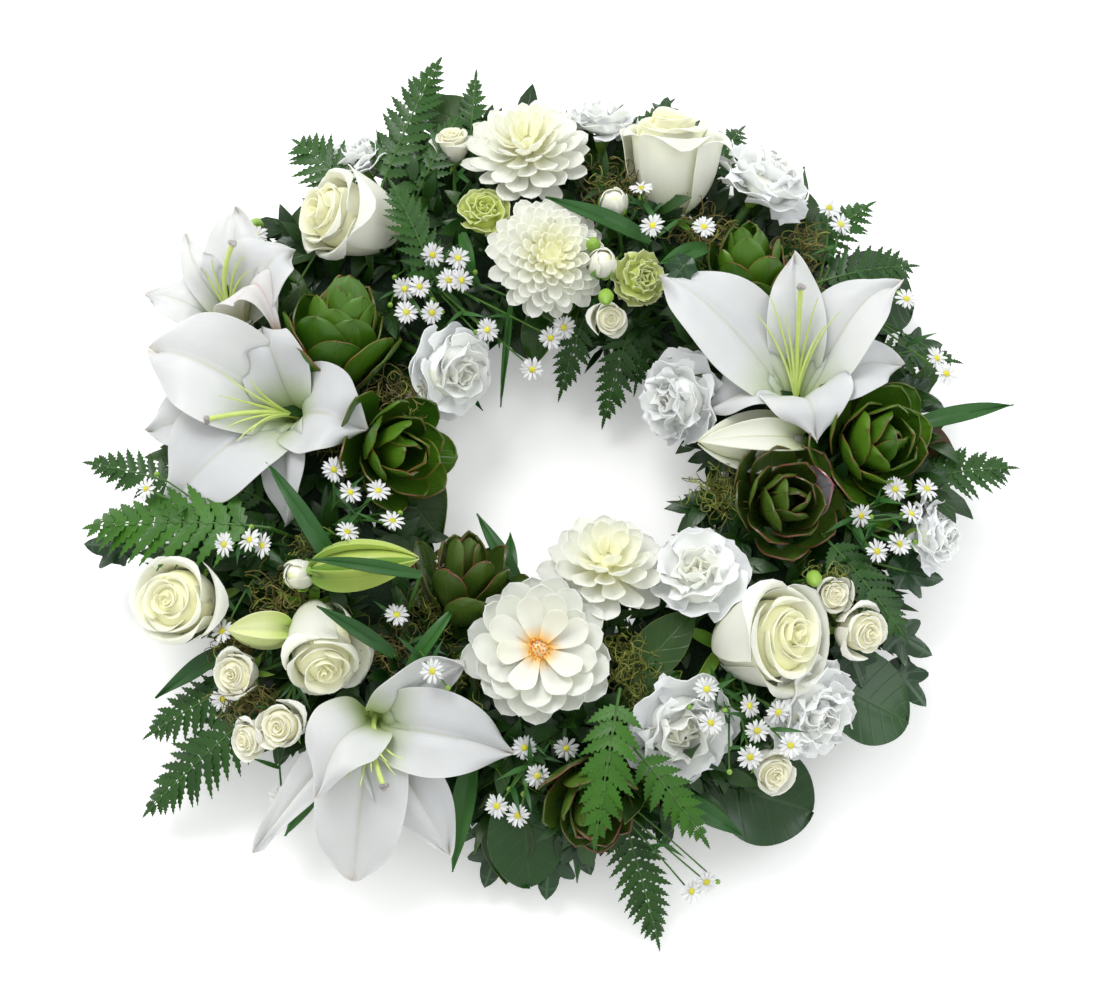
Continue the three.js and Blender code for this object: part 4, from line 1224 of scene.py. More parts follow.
@dataclass
class Spray:
    """Small flowers whose branches meet on one stem, in place of a CAD node."""

    node: str
    fork: Point
    seed: int = 1
    added: bool = field(default=False, kw_only=True)  # whether no CAD node stands for it

    def heads(self, bunch: Bunch, draw: random.Random) -> None:
        """Adds the small flowers. Each kind of spray has its own."""
        raise NotImplementedError

    def branch(self, bunch: Bunch, end: Vector, draw: random.Random, radius: float = 0.9) -> None:
        """Adds a bowed branch from the fork to `end`, with two narrow leaves.

        Args:
            bunch: The piece that it goes into.
            end: Where the branch ends.
            draw: The seeded random numbers.
            radius: How thick it is, as a radius.
        """
        fork = Vector(self.fork)
        way = end - fork
        bow = Vector((draw.uniform(-5, 5), draw.uniform(-5, 5), way.length * 0.14))
        line = curve([fork, fork + way * 0.4 + bow, end], 9)
        bunch.add(tube(line, (radius * 1.3, radius), 6), Finish.STEM, None, draw.random())
        for share in (0.45, 0.75):
            start = Vector(smooth([fork, fork + way * 0.4 + bow, end], np.array([share]))[0])
            toward = Vector((draw.uniform(-1, 1), draw.uniform(-1, 1), draw.uniform(0.1, 0.7)))
            length = draw.uniform(12, 22)
            spine = ((0, 0, 0), (6, 0, 1.6), (14, 0, 2), (20, 0, -1))
            form = Blade(spine, 3.4, (0.5, 1.3, 1.1, 0.5), 2, 1, (25, 15), thickness=0.35, rows=6,
                columns=2)
            size = length / 20
            place = facing(start, toward, Vector((0, 0, 1)), (size, size, size))
            bunch.add(sheet(form), Finish.STRAP, place, draw.random())

    def build(self) -> bpy.types.Object:
        """Builds the spray as one piece.

        Returns:
            The piece.
        """
        bunch = Bunch()
        draw = random.Random(self.seed)
        self.heads(bunch, draw)
        fork = Vector(self.fork)
        bunch.add(tube([fork, foot_of(fork)], (1.7, 1.7), 8), Finish.STEM)
        return bunch.piece(self.node + "_heads", *(() if self.added else (self.node,)))


@dataclass
class RoseSpray(Spray):
    """Small roses and closed buds. Each head is its place, width, facing, lean and whether it is open."""

    roses: tuple[tuple[Point, float, float, float, bool], ...] = ()

    def heads(self, bunch: Bunch, draw: random.Random) -> None:
        """Adds the roses and buds with their sepals.

        Args:
            bunch: The piece that it goes into.
            draw: The seeded random numbers.
        """
        for at, across, toward, lean, is_open in self.roses:
            stance = Stance(at, toward, lean, draw.uniform(0, 360)).matrix(across * 0.45)
            tall = across * 0.92
            if is_open:
                rose = Rose("", Stance(at), Finish.SPRAY_ROSE, draw.randrange(99), across, tall, 1.0, 14,
                    (10, 8))
                rose.petals(bunch, stance)
            else:
                self.bud(bunch, stance, across, draw)
            self.branch(bunch, stance @ Vector((0, 0, -1)), draw)

    def bud(self, bunch: Bunch, at: Matrix, across: float, draw: random.Random) -> None:
        """Adds a closed bud: wrapped petals over a round core, in five sepals.

        Args:
            bunch: The piece that it goes into.
            at: Where the bud stands, and which way it faces.
            across: How wide it is.
            draw: The seeded random numbers.
        """
        r = across / 2
        bunch.add(egg(((0, 0), (r, 0), (r * 1.3, r), (r * 0.9, r * 2), (0, r * 2.1)), 14),
            Finish.SPRAY_ROSE, at)
        for k in range(4):
            radii = (0.3 * r, 1.15 * r, 1.3 * r, 0.9 * r, 0.55 * r)
            heights = (0.0, 0.1 * r, 1.1 * r, 2.0 * r, 2.2 * r)
            form = Wrap(radii, heights, 66, 1.0, 0.2, 0.3, 0.4, 7, 8, k)
            bunch.add(sheet(form), Finish.SPRAY_ROSE, at @ around(k * 97), draw.random(), 0.2)
        for k in range(5):
            spine = ((0, 0, 0), (r * 1.1, 0, 0), (r * 1.35, 0, r * 0.9), (r * 1.15, 0, r * 1.5))
            form = Blade(spine, r * 0.9, (0.6, 1.3, 0.8, 0.3), 3, 1, (-30, -25), thickness=0.5, rows=6,
                columns=4)
            bunch.add(sheet(form), Finish.SEPAL, at @ around(k * 72), draw.random())


@dataclass
class AsterSpray(Spray):
    """Small white asters with yellow buttons. Each spot is a place on the ring."""

    height: float = 74.0
    spots: tuple[tuple[float, ...], ...] = ()
    across: float = 12.8

    def heads(self, bunch: Bunch, draw: random.Random) -> None:
        """Adds the asters, each leaning away from the ring's middle line, and a few green buds.

        Args:
            bunch: The piece that it goes into.
            draw: The seeded random numbers.
        """
        r = self.across / 2
        button = egg(((0, -0.5), (1.6, -0.5), (2.6, 0.6), (1.8, 1.7), (0, 1.8)), 12)
        calyx = egg(((0, -3.2), (0.9, -3.0), (2.0, -0.6), (0, 0.0)), 8)
        for spot in self.spots:
            x, y, z = (*spot, self.height)[:3]
            outward = math.hypot(x, y) > RING_RADIUS
            toward = math.degrees(math.atan2(y, x)) + (0 if outward else 180)
            at = Stance((x, y, z), toward + draw.uniform(-50, 50), draw.uniform(8, 42),
                draw.uniform(0, 360)).matrix()
            rays = draw.randint(17, 21)
            for k in range(rays):
                length = r * draw.uniform(0.78, 0.98)
                droop = draw.uniform(-0.14, 0.12) * length
                spine = ((0, 0, 0), (3, 0, 0.8), (6, 0, 0))
                form = Blade(spine, 1.75, (0.5, 1.2, 1.1), 5, 0.5, (30, 10), thickness=0.3, rows=3,
                    columns=2, seed=k % 2)
                turn = k * 360 / rays + draw.uniform(-6, 6)
                pitch = math.degrees(math.atan2(droop, length)) + (k % 2) * 9
                place = around(turn, 1.2, (k % 2) * 0.4, draw.uniform(-25, 25), pitch)
                bunch.add(sheet(form), Finish.RAY, at @ place @ Matrix.Scale(length / 6, 4), draw.random())
            bunch.add(button, Finish.POLLEN, at, draw.random())
            bunch.add(calyx, Finish.SEPAL, at, 0.3)
            self.branch(bunch, at @ Vector((0, 0, -2.5)), draw, 0.55)
        for _ in range(max(1, len(self.spots) // 2)):
            x, y, z = (*draw.choice(self.spots), self.height)[:3]
            end = Vector((x + draw.uniform(-11, 11), y + draw.uniform(-11, 11), z - draw.uniform(1, 9)))
            bunch.add(egg(((0, -2), (1.9, -1.8), (2.3, 1.0), (0, 2.2)), 8), Finish.SEPAL,
                Matrix.Translation(end), 0.8)
            self.branch(bunch, end, draw, 0.5)


# Foliage


def leaf_spine(root: Point, tip: Point, lift: float) -> tuple[Point, ...]:
    """Control points of a leaf that arches from root to tip, `lift` high in its middle.

    Args:
        root: Where the leaf begins.
        tip: Where it ends.
        lift: How high it arches.

    Returns:
        The control points, from root to tip.
    """
    a, b = Vector(root), Vector(tip)
    first = a.lerp(b, 0.35) + Vector((0, 0, lift))
    second = a.lerp(b, 0.72) + Vector((0, 0, lift * 0.8))
    return tuple(tuple(round(c, 2) for c in p) for p in (a, first, second, b))


def add_leaf(
    bunch: Bunch, finish: Finish, root: Point, tip: Point, width: float, lift: float, roll: float = 0.0,
    tone: float = 0.5, seed: int = 0, strap: bool = False,
) -> None:
    """Adds one plain leaf.

    Args:
        bunch: Where it goes.
        finish: Its finish.
        root: Its foot.
        tip: Its tip.
        width: Its width.
        lift: How high it arches.
        roll: How far it is turned about its own length.
        tone: Lighter or darker.
        seed: Its own waviness.
        strap: Whether it is a narrow strap with even sides.
    """
    blunt = finish is Finish.GLOSSY
    outline = (0.5, 1.15, 1.15, 0.75) if strap else (0.3, 1.3, 1.45, 1.25) if blunt else (0.22, 1.25, 1.5,
        0.55)
    form = Blade(
        leaf_spine(root, tip, lift), width, outline, 2.2 if strap else 2.4,
        1.0 if strap else 0.55 if blunt else 0.75,
        (28, 22, 14) if strap else (20, 12, 6), (roll, roll), 0.7 if strap else 1.1, 1.5,
        groove=0.7, thickness=0.6, rows=22, columns=6 if strap else 10, side=None, seed=seed,
    )
    bunch.add(sheet(form), finish, None, tone)


def add_frond(
    bunch: Bunch, finish: Finish, root: Point, tip: Point, width: float, lift: float, draw: random.Random,
    pairs: int = 13, roll: float = 0.0,
) -> None:
    """Adds a fern frond: toothed leaflets in pairs on a thin rib.

    Args:
        bunch: Where it goes.
        finish: Its finish.
        root: Its foot.
        tip: Its tip.
        width: How wide it is at its widest.
        lift: How high it arches.
        draw: Its random numbers.
        pairs: How many pairs of leaflets it has.
        roll: How far it is turned about its own length.
    """
    spine = leaf_spine(root, tip, lift)
    bunch.add(tube(curve(spine, 16), (0.9, 0.6, 0.3), 6), Finish.STEM, None, 0.3)
    shades = draw.uniform(0.15, 0.6)
    chord = Vector(tip) - Vector(root)
    level = Vector((0, 0, 1)).cross(chord).normalized()
    spacing = chord.length * 0.86 / pairs
    for i in range(pairs + 1):
        t = min(0.14 + 0.86 * i / pairs, 0.95)
        at, along = Vector(smooth(spine, np.array([t]))[0]), Vector(slope(spine,
            np.array([t]))[0]).normalized()
        side = Matrix.Rotation(math.radians(roll), 3, along) @ level
        normal = along.cross(side)
        profile = math.sin(math.pi * (0.3 + 0.7 * (i + 0.2) / (pairs + 0.6))) ** 0.85
        length = width / 2 * profile * draw.uniform(0.93, 1.05)
        for sign in (1, -1) if i < pairs else (0,):
            lean = math.radians(24 + 34 * t + draw.uniform(-5, 5))
            way = side * sign * math.cos(lean) + along * math.sin(lean) if sign else along
            way = way - normal * draw.uniform(0.02, 0.28)
            form = Blade(
                ((0, 0, 0), (7, 0, 0.9), (14, 0, 0.9), (20, 0, -1.2)), 8.0, (0.8, 1.3, 1.0, 0.5), 2.2, 0.9,
                (14, 10), teeth=0.42, thickness=0.4, rows=14, columns=2, groove=0.3, seed=i % 3,
            )
            size = max(length, 4.0 if sign else 11.0) / 20
            broad = spacing * (0.8 + 0.42 * profile) / (8 if sign else 14) * draw.uniform(0.92, 1.1)
            place = facing(at, way, normal, (size, broad, size))
            bunch.add(sheet(form), finish, place, shades + draw.uniform(0, 0.4))


@functools.cache
def ivy_leaf() -> Shape:
    """Models a five-lobed ivy leaf, 20 mm from its foot to its tip, from a disc.

    Returns:
        The leaf's shape.
    """
    bpy.ops.object.select_all(action="DESELECT")
    bpy.ops.mesh.primitive_grid_add(x_subdivisions=14, y_subdivisions=14, size=2)
    obj = bpy.context.object
    flat = np.zeros(len(obj.data.vertices) * 3)
    obj.data.vertices.foreach_get("co", flat)
    x, y = flat.reshape(-1, 3)[:, 0], flat.reshape(-1, 3)[:, 1]
    rim = np.maximum(np.abs(x), np.abs(y))
    turn = np.arctan2(y, x)
    lobes = ((0.0, 1.0, 0.46), (1.0, 0.8, 0.42), (-1.0, 0.8, 0.42), (2.05, 0.62, 0.45), (-2.05, 0.62, 0.45))
    reach = np.full_like(turn, 0.5)
    for middle, size, spread in lobes:
        reach = np.maximum(reach, size * np.clip(1 - np.abs(turn - middle) / (spread * 2.1), 0.0, 1) ** 0.8)
    places = np.stack([rim * reach * np.cos(turn) * 14 + 6, rim * reach * np.sin(turn) * 14, rim * 0], 1)
    places[:, 2] = 1.6 * np.cos(turn * 5) * rim * reach - 0.02 * places[:, 0] ** 2 * 0.3
    obj.data.vertices.foreach_set("co", places.ravel())
    bpy.ops.object.modifier_add(type="SOLIDIFY")
    wall = obj.modifiers[-1]
    wall.thickness = 0.4
    wall.offset = 0
    bpy.ops.object.modifier_apply(modifier=wall.name)
    return Shape.lifted(obj)


# The wreath's own pieces, as places in millimetres from the ring's middle

LILIES = (
    Lily(
        "lily_left", Stance((-150, 18, 76), 190, 32, 20), Finish.LILY, 1, throat=(-144, 20, 66),
        style=(-182, 8, 88),
        tepals=(
            Tepal((-219, 12, 58), 44, (-34, 0, 20), (16, 0, 14)),
            Tepal((-141, -42, 58), 28, (0, -18, 20), (0, 14, 18), (0, 20)),
            Tepal((-155, 62, 82), 38, (0, 16, 24), (2, -12, 22)),
            Tepal((-98, 4, 82), 52, (20, -4, 26), (-16, 4, 16), (0, -8)),
            Tepal((-208, -32, 58), 58, (-26, -16, 26), (20, 14, 22), point=0.6),
            Tepal((-214, 50, 80), 56, (-26, 12, 30), (14, -6, 30), point=0.55),
        ),
        filaments=((-176, 20, 92), (-174, 32, 92), (-172, 4, 86), (-166, -4, 86), (-160, 30, 92),
            (-158, 0, 90)),
    ),
    Lily(
        "lily_right", Stance((129, 25, 80), 92, 52, 5), Finish.LILY, 2, throat=(136, 34, 68),
        style=(136, 74, 112),
        tepals=(
            Tepal((86, 20, 68), 34, (-20, 0, 24), (12, 4, 20), (0, 20), level=0.8),
            Tepal((193, 46, 66), 42, (22, 4, 26), (-14, 2, 22), level=0.8),
            Tepal((134, 98, 98), 32, (0, 24, 22), (0, -16, 6), level=0.2),
            Tepal((192, 84, 92), 42, (20, 16, 26), (-22, 0, 12), (0, -10), level=0.9),
            Tepal((62, 88, 92), 52, (-24, 12, 30), (18, -6, 14), (0, 6), level=0.9),
            Tepal((145, 0, 80), 52, (2, -6, 26), (0, 10, 22), level=0.9, point=0.95),
        ),
        filaments=((112, 66, 98), (120, 74, 102), (146, 72, 104), (158, 66, 98), (128, 62, 104),
            (150, 58, 98)),
    ),
    Lily(
        "lily_bottom", Stance((-103, -146, 68), 265, 48, 30), Finish.LILY, 3, throat=(-92, -158, 66),
        style=(-84, -192, 88),
        tepals=(
            Tepal((-155, -215, 28), 22, (-24, -12, 20), (12, 12, 24), (0, 30), point=1.0),
            Tepal((-52, -217, 36), 38, (12, -22, 18), (-6, 14, 18)),
            Tepal((-43, -126, 86), 32, (16, 12, 22), (-14, -4, -4), (0, 30)),
            Tepal((-18, -170, 66), 46, (26, -4, 26), (-22, 4, 18), level=0.7),
            Tepal((-102, -232, 36), 44, (-2, -22, 22), (2, 22, 20), outline=(0.4, 1.0, 1.25, 1.35, 1.25),
                point=0.45, level=0.7),
            Tepal((-119, -196, 78), 40, (-4, 6, 28), (4, 22, 22), (0, 30), (62, 30, 0, -50)),
        ),
        filaments=((-104, -188, 86), (-96, -192, 88), (-78, -186, 86), (-74, -178, 88), (-90, -186, 92),
            (-82, -180, 92)),
    ),
    Lily(
        "lily_upper_left", Stance((-172, 92, 64), 135, 50, 0), Finish.LILY, 4, throat=(-176, 80, 60),
        style=(-172, 108, 92),
        tepals=(
            Tepal((-202, 122, 70), 22, (-16, 12, 16), (8, -12, 4), (0, 50), level=0.2),
            Tepal((-173, 137, 74), 36, (0, 22, 20), (0, -14, 6), level=0.6),
            Tepal((-222, 90, 60), 34, (-22, 2, 20), (14, -2, 14)),
            Tepal((-140, 108, 80), 46, (16, 12, 24), (-10, -4, 22), level=0.7),
            Tepal((-188, 58, 62), 42, (-8, -14, 22), (4, 10, 16)),
            Tepal((-147, 62, 80), 40, (10, 12, 40), (-8, 32, 26), (0, -20), (40, 20, -20, -40),
                finish=Finish.LILY_BLUSH),
        ),
        filaments=((-184, 104, 84), (-188, 98, 82), (-166, 104, 86), (-162, 96, 84)),
    ),
)

ROSES = (
    Rose("rose_upper_left", Stance((-107, 132, 68), 180, 50), Finish.ROSE, 11, 50, 56, centre=27),
    Rose("rose_top", Stance((68, 166, 68), 88, 54), Finish.ROSE, 12, 54, 60, 1.04, centre=29),
    Rose("rose_left", Stance((-194, -86, 60), 210, 26), Finish.ROSE, 18, 50, 46, 0.96, 16, centre=23),
    Rose("rose_lower_left", Stance((-120, -110, 74), 282, 56), Finish.ROSE, 14, 46, 58, 0.92, 15,
        centre=27),
    Rose("rose_lower_right", Stance((113, -112, 78), 352, 40), Finish.ROSE, 15, 60, 60, centre=30),
)

DAHLIAS = (
    Dahlia("dahlia_top", Stance((-11, 170, 72), 90, 20), Finish.DAHLIA, 21, 66, (2, 10), 13, (9, 29),
        (7, 15),
           (74, -10), (60, 30)),
    Dahlia("dahlia_pompon", Stance((0, 103, 84), 320, 16), Finish.DAHLIA, 22, 120, (2, 15), 16, (5, 20),
        (3.6, 11),
           (80, -14), (80, 42)),
    Dahlia("dahlia_open", Stance((-4, -119, 84), 270, 6), Finish.OPEN_DAHLIA, 23, 42, (3, 7), 8, (18, 34),
        (11, 21),
           (36, -6), (30, 16), 0.08, 0.3, 6.5),
    Dahlia("dahlia_inner", Stance((31, -74, 74), 75, 24), Finish.DAHLIA, 24, 42, (2, 9), 13, (10, 27),
        (8, 17),
           (76, -12), (64, 30), 0, 1.0),
)

FULL_LISIANTHUS = (
    (7, 6, 0, 22, 27, 8, 22, 0.0),
    (6, 5, 3, 20, 24, 26, 26, 0.1),
    (6, 4, 6, 17, 19, 46, 32, 0.25),
    (5, 3, 7, 14, 15, 64, 40, 0.45),
    (4, 2, 8, 11, 10, 78, 50, 0.7),
)
OPEN_LISIANTHUS = (
    (6, 6, 0, 26, 30, 12, 22, 0.0),
    (6, 5, 3, 23, 27, 32, 28, 0.15),
    (5, 4, 3, 18, 20, 56, 36, 0.5),
    (4, 2, 2, 13, 13, 76, 50, 1.0),
)
CARNATION = (
    (7, 3, 0, 21, 23, 4, 16, 0.0),
    (7, 3, 2, 19, 20, 24, 20, 0.05),
    (6, 2, 4, 16, 17, 46, 28, 0.1),
    (5, 2, 5, 13, 13, 66, 34, 0.2),
    (3, 1, 6, 11, 10, 80, 44, 0.35),
)


def resized(rings: Sequence[Sequence[float]], factor: float) -> tuple[tuple[float, ...], ...]:
    """The same rings of petals in another size."""
    return tuple((n, *(round(v * factor, 2) for v in (out, up, length, width)), *rest)
                 for n, out, up, length, width, *rest in rings)


RUFFLED = (
    Whorled("lisianthus_inner_left", Stance((-53, 46, 62), 320, 50), Finish.WHITE, 31, FULL_LISIANTHUS, 1.4,
        0.04,
            centre=4),
    Whorled("lisianthus_inner_right", Stance((80, -77, 80), 105, 22), Finish.WHITE, 32,
        resized(OPEN_LISIANTHUS, 0.88), 2.0, 0.05,
            centre=5),
    Whorled("lisianthus_lower", Stance((70, -157, 66), 290, 46), Finish.WHITE, 33,
            OPEN_LISIANTHUS, 3.0, 0.06, centre=5),
    Whorled("green_carnation_left", Stance((-35, 131, 78), 90, 15), Finish.LIME, 34,
            resized(FULL_LISIANTHUS[1:], 0.7), 1.0, 0.05, calyx=4, centre=4, stem=2),
    Whorled("green_carnation_right", Stance((52, 93, 78), 330, 25), Finish.LIME, 35,
        resized(CARNATION, 0.66), 1.4,
            0.1, calyx=4, centre=4, stem=2),
    Whorled("carnation_upper_right", Stance((123, 159, 62), 45, 45), Finish.WHITE, 36,
        resized(CARNATION, 1.2), 2.4,
            0.08, centre=5),
    Whorled("carnation_inner_right", Stance((73, 30, 62), 205, 50), Finish.WHITE, 37,
        resized(CARNATION, 1.15), 2.2,
            0.07, centre=5),
    Whorled("carnation_lower_right", Stance((139, -145, 60), 312, 50), Finish.WHITE, 38,
        resized(CARNATION, 1.2), 2.4,
            0.08, centre=5),
    Whorled("carnation_right", Stance((209, -46, 54), 350, 60), Finish.WHITE, 39, resized(CARNATION, 0.9),
        2.0, 0.08,
            centre=4),
    Whorled("carnation_upper_left", Stance((-107, 176, 54), 120, 50), Finish.WHITE, 40,
        resized(CARNATION, 0.9), 2.0,
            0.08, centre=4),
    Whorled("carnation_top", Stance((32, 200, 54), 85, 55), Finish.WHITE, 41, resized(CARNATION, 0.95), 2.0,
        0.08,
            centre=4),
)

LEUCADENDRONS = (
    Leucadendron("leucadendron_upper_left", Stance((-113, 60, 70), 80, 54, 75), Finish.BRACT, 51, 82, 68,
        26, 46, 0.6,
                 centre=30),
    Leucadendron("leucadendron_inner_left", Stance((-84, -4, 70), 330, 40), Finish.BRACT, 52, 60, 54, 20,
        32, centre=24),
    Leucadendron("leucadendron_upper_right", Stance((112, 97, 64), 92, 50), Finish.BRACT, 53, 60, 66, 22,
        52, 0.62,
                 centre=28),
    Leucadendron("leucadendron_right", Stance((178, 1, 67), 345, 26), Finish.BRACT, 54, 74, 60, 26, 26,
        0.72, centre=29),
    Leucadendron("leucadendron_purple", Stance((127, -33, 71), 330, 20), Finish.BRACT_DARK, 55, 66, 50, 20,
        38,
                 painted_sheen_at=8, centre=23),
    Leucadendron("leucadendron_lower_left", Stance((-45, -78, 72), 75, 45), Finish.BRACT_DARK, 56, 54, 58,
        16, 42,
                 centre=27),
    Leucadendron("leucadendron_bottom", Stance((24, -192, 56), 268, 56), Finish.BRACT_DARK, 57, 58, 54, 16,
        44,
                 centre=26),
)

BUDS = (
    Bud("lily_bud_green", Stance((-97, -74, 90), 4, 82), Finish.BUD_GREEN, 61, 17, 57, centre=28),
    Bud("lily_bud_white", Stance((110, 0, 74), 184, 80), Finish.BUD_WHITE, 62, 21, 58, centre=30),
    Bud("lisianthus_bud", Stance((-152, -106, 76), 182, 80), Finish.BUD_PALE, 63, 17, 32, 4, centre=16),
)

ROSE_SPRAYS = (
    RoseSpray("spray_rose_left", (-130, -112, 54), 71, (
        ((-162, -127, 64), 26, 215, 30, True),
        ((-138, -155, 66), 26, 230, 25, True),
        ((-154, -160, 58), 22, 210, 50, True),
        ((-131, -76, 78), 15, 200, 20, False),
    )),
    RoseSpray("spray_rose_top", (42, 118, 56), 72, (
        ((37, 137, 80), 14, 80, 20, False),
        ((30, 96, 92), 14, 60, 15, False),
        ((33, 72, 74), 21, 300, 30, True),
    )),
    RoseSpray("spray_rose_right", (143, -78, 54), 73, (
        ((165, -103, 62), 28, 330, 40, True),
        ((150, -86, 72), 20, 330, 25, True),
    )),
    RoseSpray("spray_rose_lower_right", (104, -146, 53), 74, (((117, -175, 54), 24, 300, 45, True),)),
    RoseSpray("spray_rose_upper_left", (-52, 150, 54), 75, (((-53, 179, 66), 21, 100, 35, True),)),
)

ASTER_SPRAYS = (
    AsterSpray("asters_upper_left", (-72, 108, 56), 81, 82, (
        (-63, 106), (-78, 86), (-70, 87), (-77, 72), (-63, 72), (-54, 91), (-47, 91), (-49, 104),
        (-33, 65, 74),
        (-8, 47, 60), (2, 62, 70), (9, 68, 70),
    )),
    AsterSpray("asters_left", (-118, -42, 56), 82, 86,
        ((-114, -20), (-105, -33), (-90, -32), (-106, -55), (-82, -49))),
    AsterSpray("asters_far_left", (-150, -62, 55), 83, 74, (
        (-170, -63, 90), (-157, -60, 88), (-150, -63, 88), (-215, -27), (-172, -105, 70),
    )),
    AsterSpray("asters_top", (62, 136, 56), 84, 90, ((52, 142), (58, 120), (86, 119))),
    AsterSpray("asters_bottom", (0, -160, 55), 85, 66, (
        (-26, -198), (-15, -203), (-12, -167), (-5, -182), (10, -167), (84, -232, 34), (76, -237, 34),
    )),
    AsterSpray("asters_lower_right", (98, -132, 56), 86, 84, (
        (85, -158), (83, -141, 88), (105, -149), (109, -162), (105, -176), (120, -152), (126, -170),
    )),
    AsterSpray("asters_right", (160, -40, 56), 87, 74, (
        (187, -27), (204, -27), (195, -41), (176, -62), (188, -58), (168, -42),
    )),
    AsterSpray("asters_upper_right", (150, 96, 54), 88, 64,
        ((158, 142), (164, 132), (199, 87), (219, 43), (214, 52))),
    AsterSpray("asters_inner_left", (-80, -96, 52), 89, 84, ((-59, -134, 98), (-79, -100), (-53, -67, 70)),
        added=True),
    AsterSpray("asters_low_left", (-148, -134, 42), 90, 46, ((-173, -137, 50), (-142, -188, 40)),
        added=True),
    AsterSpray("asters_high_left", (-140, 104, 46), 91, 58, ((-163, 128), (-157, 113), (-74, 200, 52)),
        added=True),
)


class Kind(Enum):
    """What a piece of foliage is."""

    FERN = "fern"
    BRIGHT_FERN = "bright fern"
    BROAD = "broad"
    GLOSSY = "glossy"
    BROWN = "brown"
    STRAP = "strap"


# Each row is the kind, root, tip, width and lift.
FOLIAGE = {
    "foliage_outer_1": (
        (Kind.FERN, (198, -14, 50), (254, -5, 45), 42, 6),
        (Kind.STRAP, (200, 16, 52), (257, 29, 52), 13, 8),
        (Kind.BROWN, (192, 16, 46), (226, 2, 42), 24, 3),
        (Kind.BROAD, (176, 34, 40), (218, 52, 22), 30, 6),
        (Kind.FERN, (180, 60, 46), (228, 62, 34), 34, 6),
    ),
    "foliage_outer_2": (
        (Kind.FERN, (150, 100, 56), (204, 113, 50), 42, 8),
        (Kind.FERN, (138, 112, 56), (182, 150, 50), 38, 6),
        (Kind.GLOSSY, (158, 108, 40), (208, 96, 26), 50, 6),
        (Kind.BROAD, (118, 146, 42), (148, 182, 32), 34, 4),
    ),
    "foliage_outer_3": (
        (Kind.FERN, (44, 178, 46), (70, 216, 44), 32, 6),
        (Kind.FERN, (90, 168, 46), (112, 204, 36), 32, 5),
        (Kind.BROAD, (30, 170, 42), (37, 203, 36), 26, 5),
    ),
    "foliage_outer_4": (
        (Kind.BROAD, (-38, 190, 50), (-77, 219, 46), 34, 6),
        (Kind.FERN, (-44, 186, 52), (-41, 230, 50), 22, 4),
        (Kind.FERN, (-95, 150, 62), (-62, 234, 62), 42, 10),
        (Kind.FERN, (-106, 150, 60), (-141, 185, 58), 46, 8),
        (Kind.FERN, (-59, 90, 68), (-84, 140, 96), 36, 10),
        (Kind.FERN, (-74, 150, 58), (-50, 198, 66), 34, 8),
    ),
    "foliage_outer_5": (
        (Kind.BRIGHT_FERN, (-148, -50, 78), (-249, -42, 54), 64, 14),
        (Kind.FERN, (-196, -18, 48), (-252, 0, 38), 34, 6),
        (Kind.FERN, (-150, -30, 56), (-192, -12, 60), 34, 8),
    ),
    "foliage_outer_6": (
        (Kind.FERN, (-148, -137, 50), (-215, -191, 18), 50, 8),
        (Kind.STRAP, (-170, -110, 54), (-210, -134, 40), 13, 6),
        (Kind.FERN, (-160, -124, 46), (-214, -150, 26), 40, 6),
    ),
    "foliage_outer_7": (
        (Kind.STRAP, (-40, -170, 52), (-50, -226, 30), 15, 6),
        (Kind.GLOSSY, (-14, -178, 40), (-9, -232, 18), 40, 7),
        (Kind.BROAD, (-20, -190, 34), (-22, -230, 16), 30, 4),
        (Kind.STRAP, (-120, -178, 34), (-140, -206, 26), 12, 4),
    ),
    "foliage_outer_8": (
        (Kind.FERN, (40, -196, 38), (59, -260, 12), 40, 8),
        (Kind.BRIGHT_FERN, (38, -140, 84), (25, -217, 76), 42, 10),
        (Kind.BRIGHT_FERN, (46, -170, 74), (82, -214, 58), 34, 8),
        (Kind.STRAP, (18, -190, 40), (16, -230, 20), 10, 5),
        (Kind.BROAD, (40, -134, 60), (80, -92, 70), 27, 5),
        (Kind.BROAD, (36, -152, 56), (71, -126, 66), 24, 5),
    ),
    "foliage_outer_9": (
        (Kind.GLOSSY, (144, -124, 48), (194, -146, 34), 48, 7),
        (Kind.GLOSSY, (84, -178, 38), (143, -191, 18), 50, 6),
        (Kind.STRAP, (68, -190, 50), (104, -209, 40), 14, 5),
        (Kind.FERN, (148, -50, 66), (190, -104, 60), 40, 8),
    ),
    "foliage_inner_1": (
        (Kind.FERN, (56, 84, 46), (50, 50, 30), 28, 4),
        (Kind.FERN, (48, 82, 46), (32, 32, 20), 32, 6),
        (Kind.FERN, (22, 88, 44), (8, 48, 24), 28, 5),
        (Kind.BROAD, (-2, 92, 44), (-8, 60, 30), 20, 4),
        (Kind.STRAP, (-20, 92, 46), (-26, 36, 30), 5, 10),
        (Kind.STRAP, (57, 118, 74), (-1, 134, 96), 13, 8),
        (Kind.STRAP, (88, 112, 78), (61, 94, 98), 12, 4),
        (Kind.STRAP, (-47, 124, 70), (-40, 92, 66), 9, 6),
    ),
    "foliage_inner_2": (
        (Kind.BROAD, (-92, 0, 40), (-58, -42, 30), 44, 4),
        (Kind.STRAP, (-70, 70, 44), (-36, 34, 30), 12, 6),
        (Kind.STRAP, (-106, -82, 66), (-150, -16, 86), 12, 26),
        (Kind.STRAP, (-80, -122, 86), (-119, -102, 109), 10, 6),
        (Kind.STRAP, (-66, -84, 104), (-124, -76, 106), 9, 7),
        (Kind.STRAP, (-76, -132, 68), (-46, -92, 82), 10, 10),
        (Kind.STRAP, (-14, -78, 56), (-38, -36, 58), 11, 6),
        (Kind.STRAP, (-20, -76, 52), (-20, -44, 50), 10, 4),
    ),
}

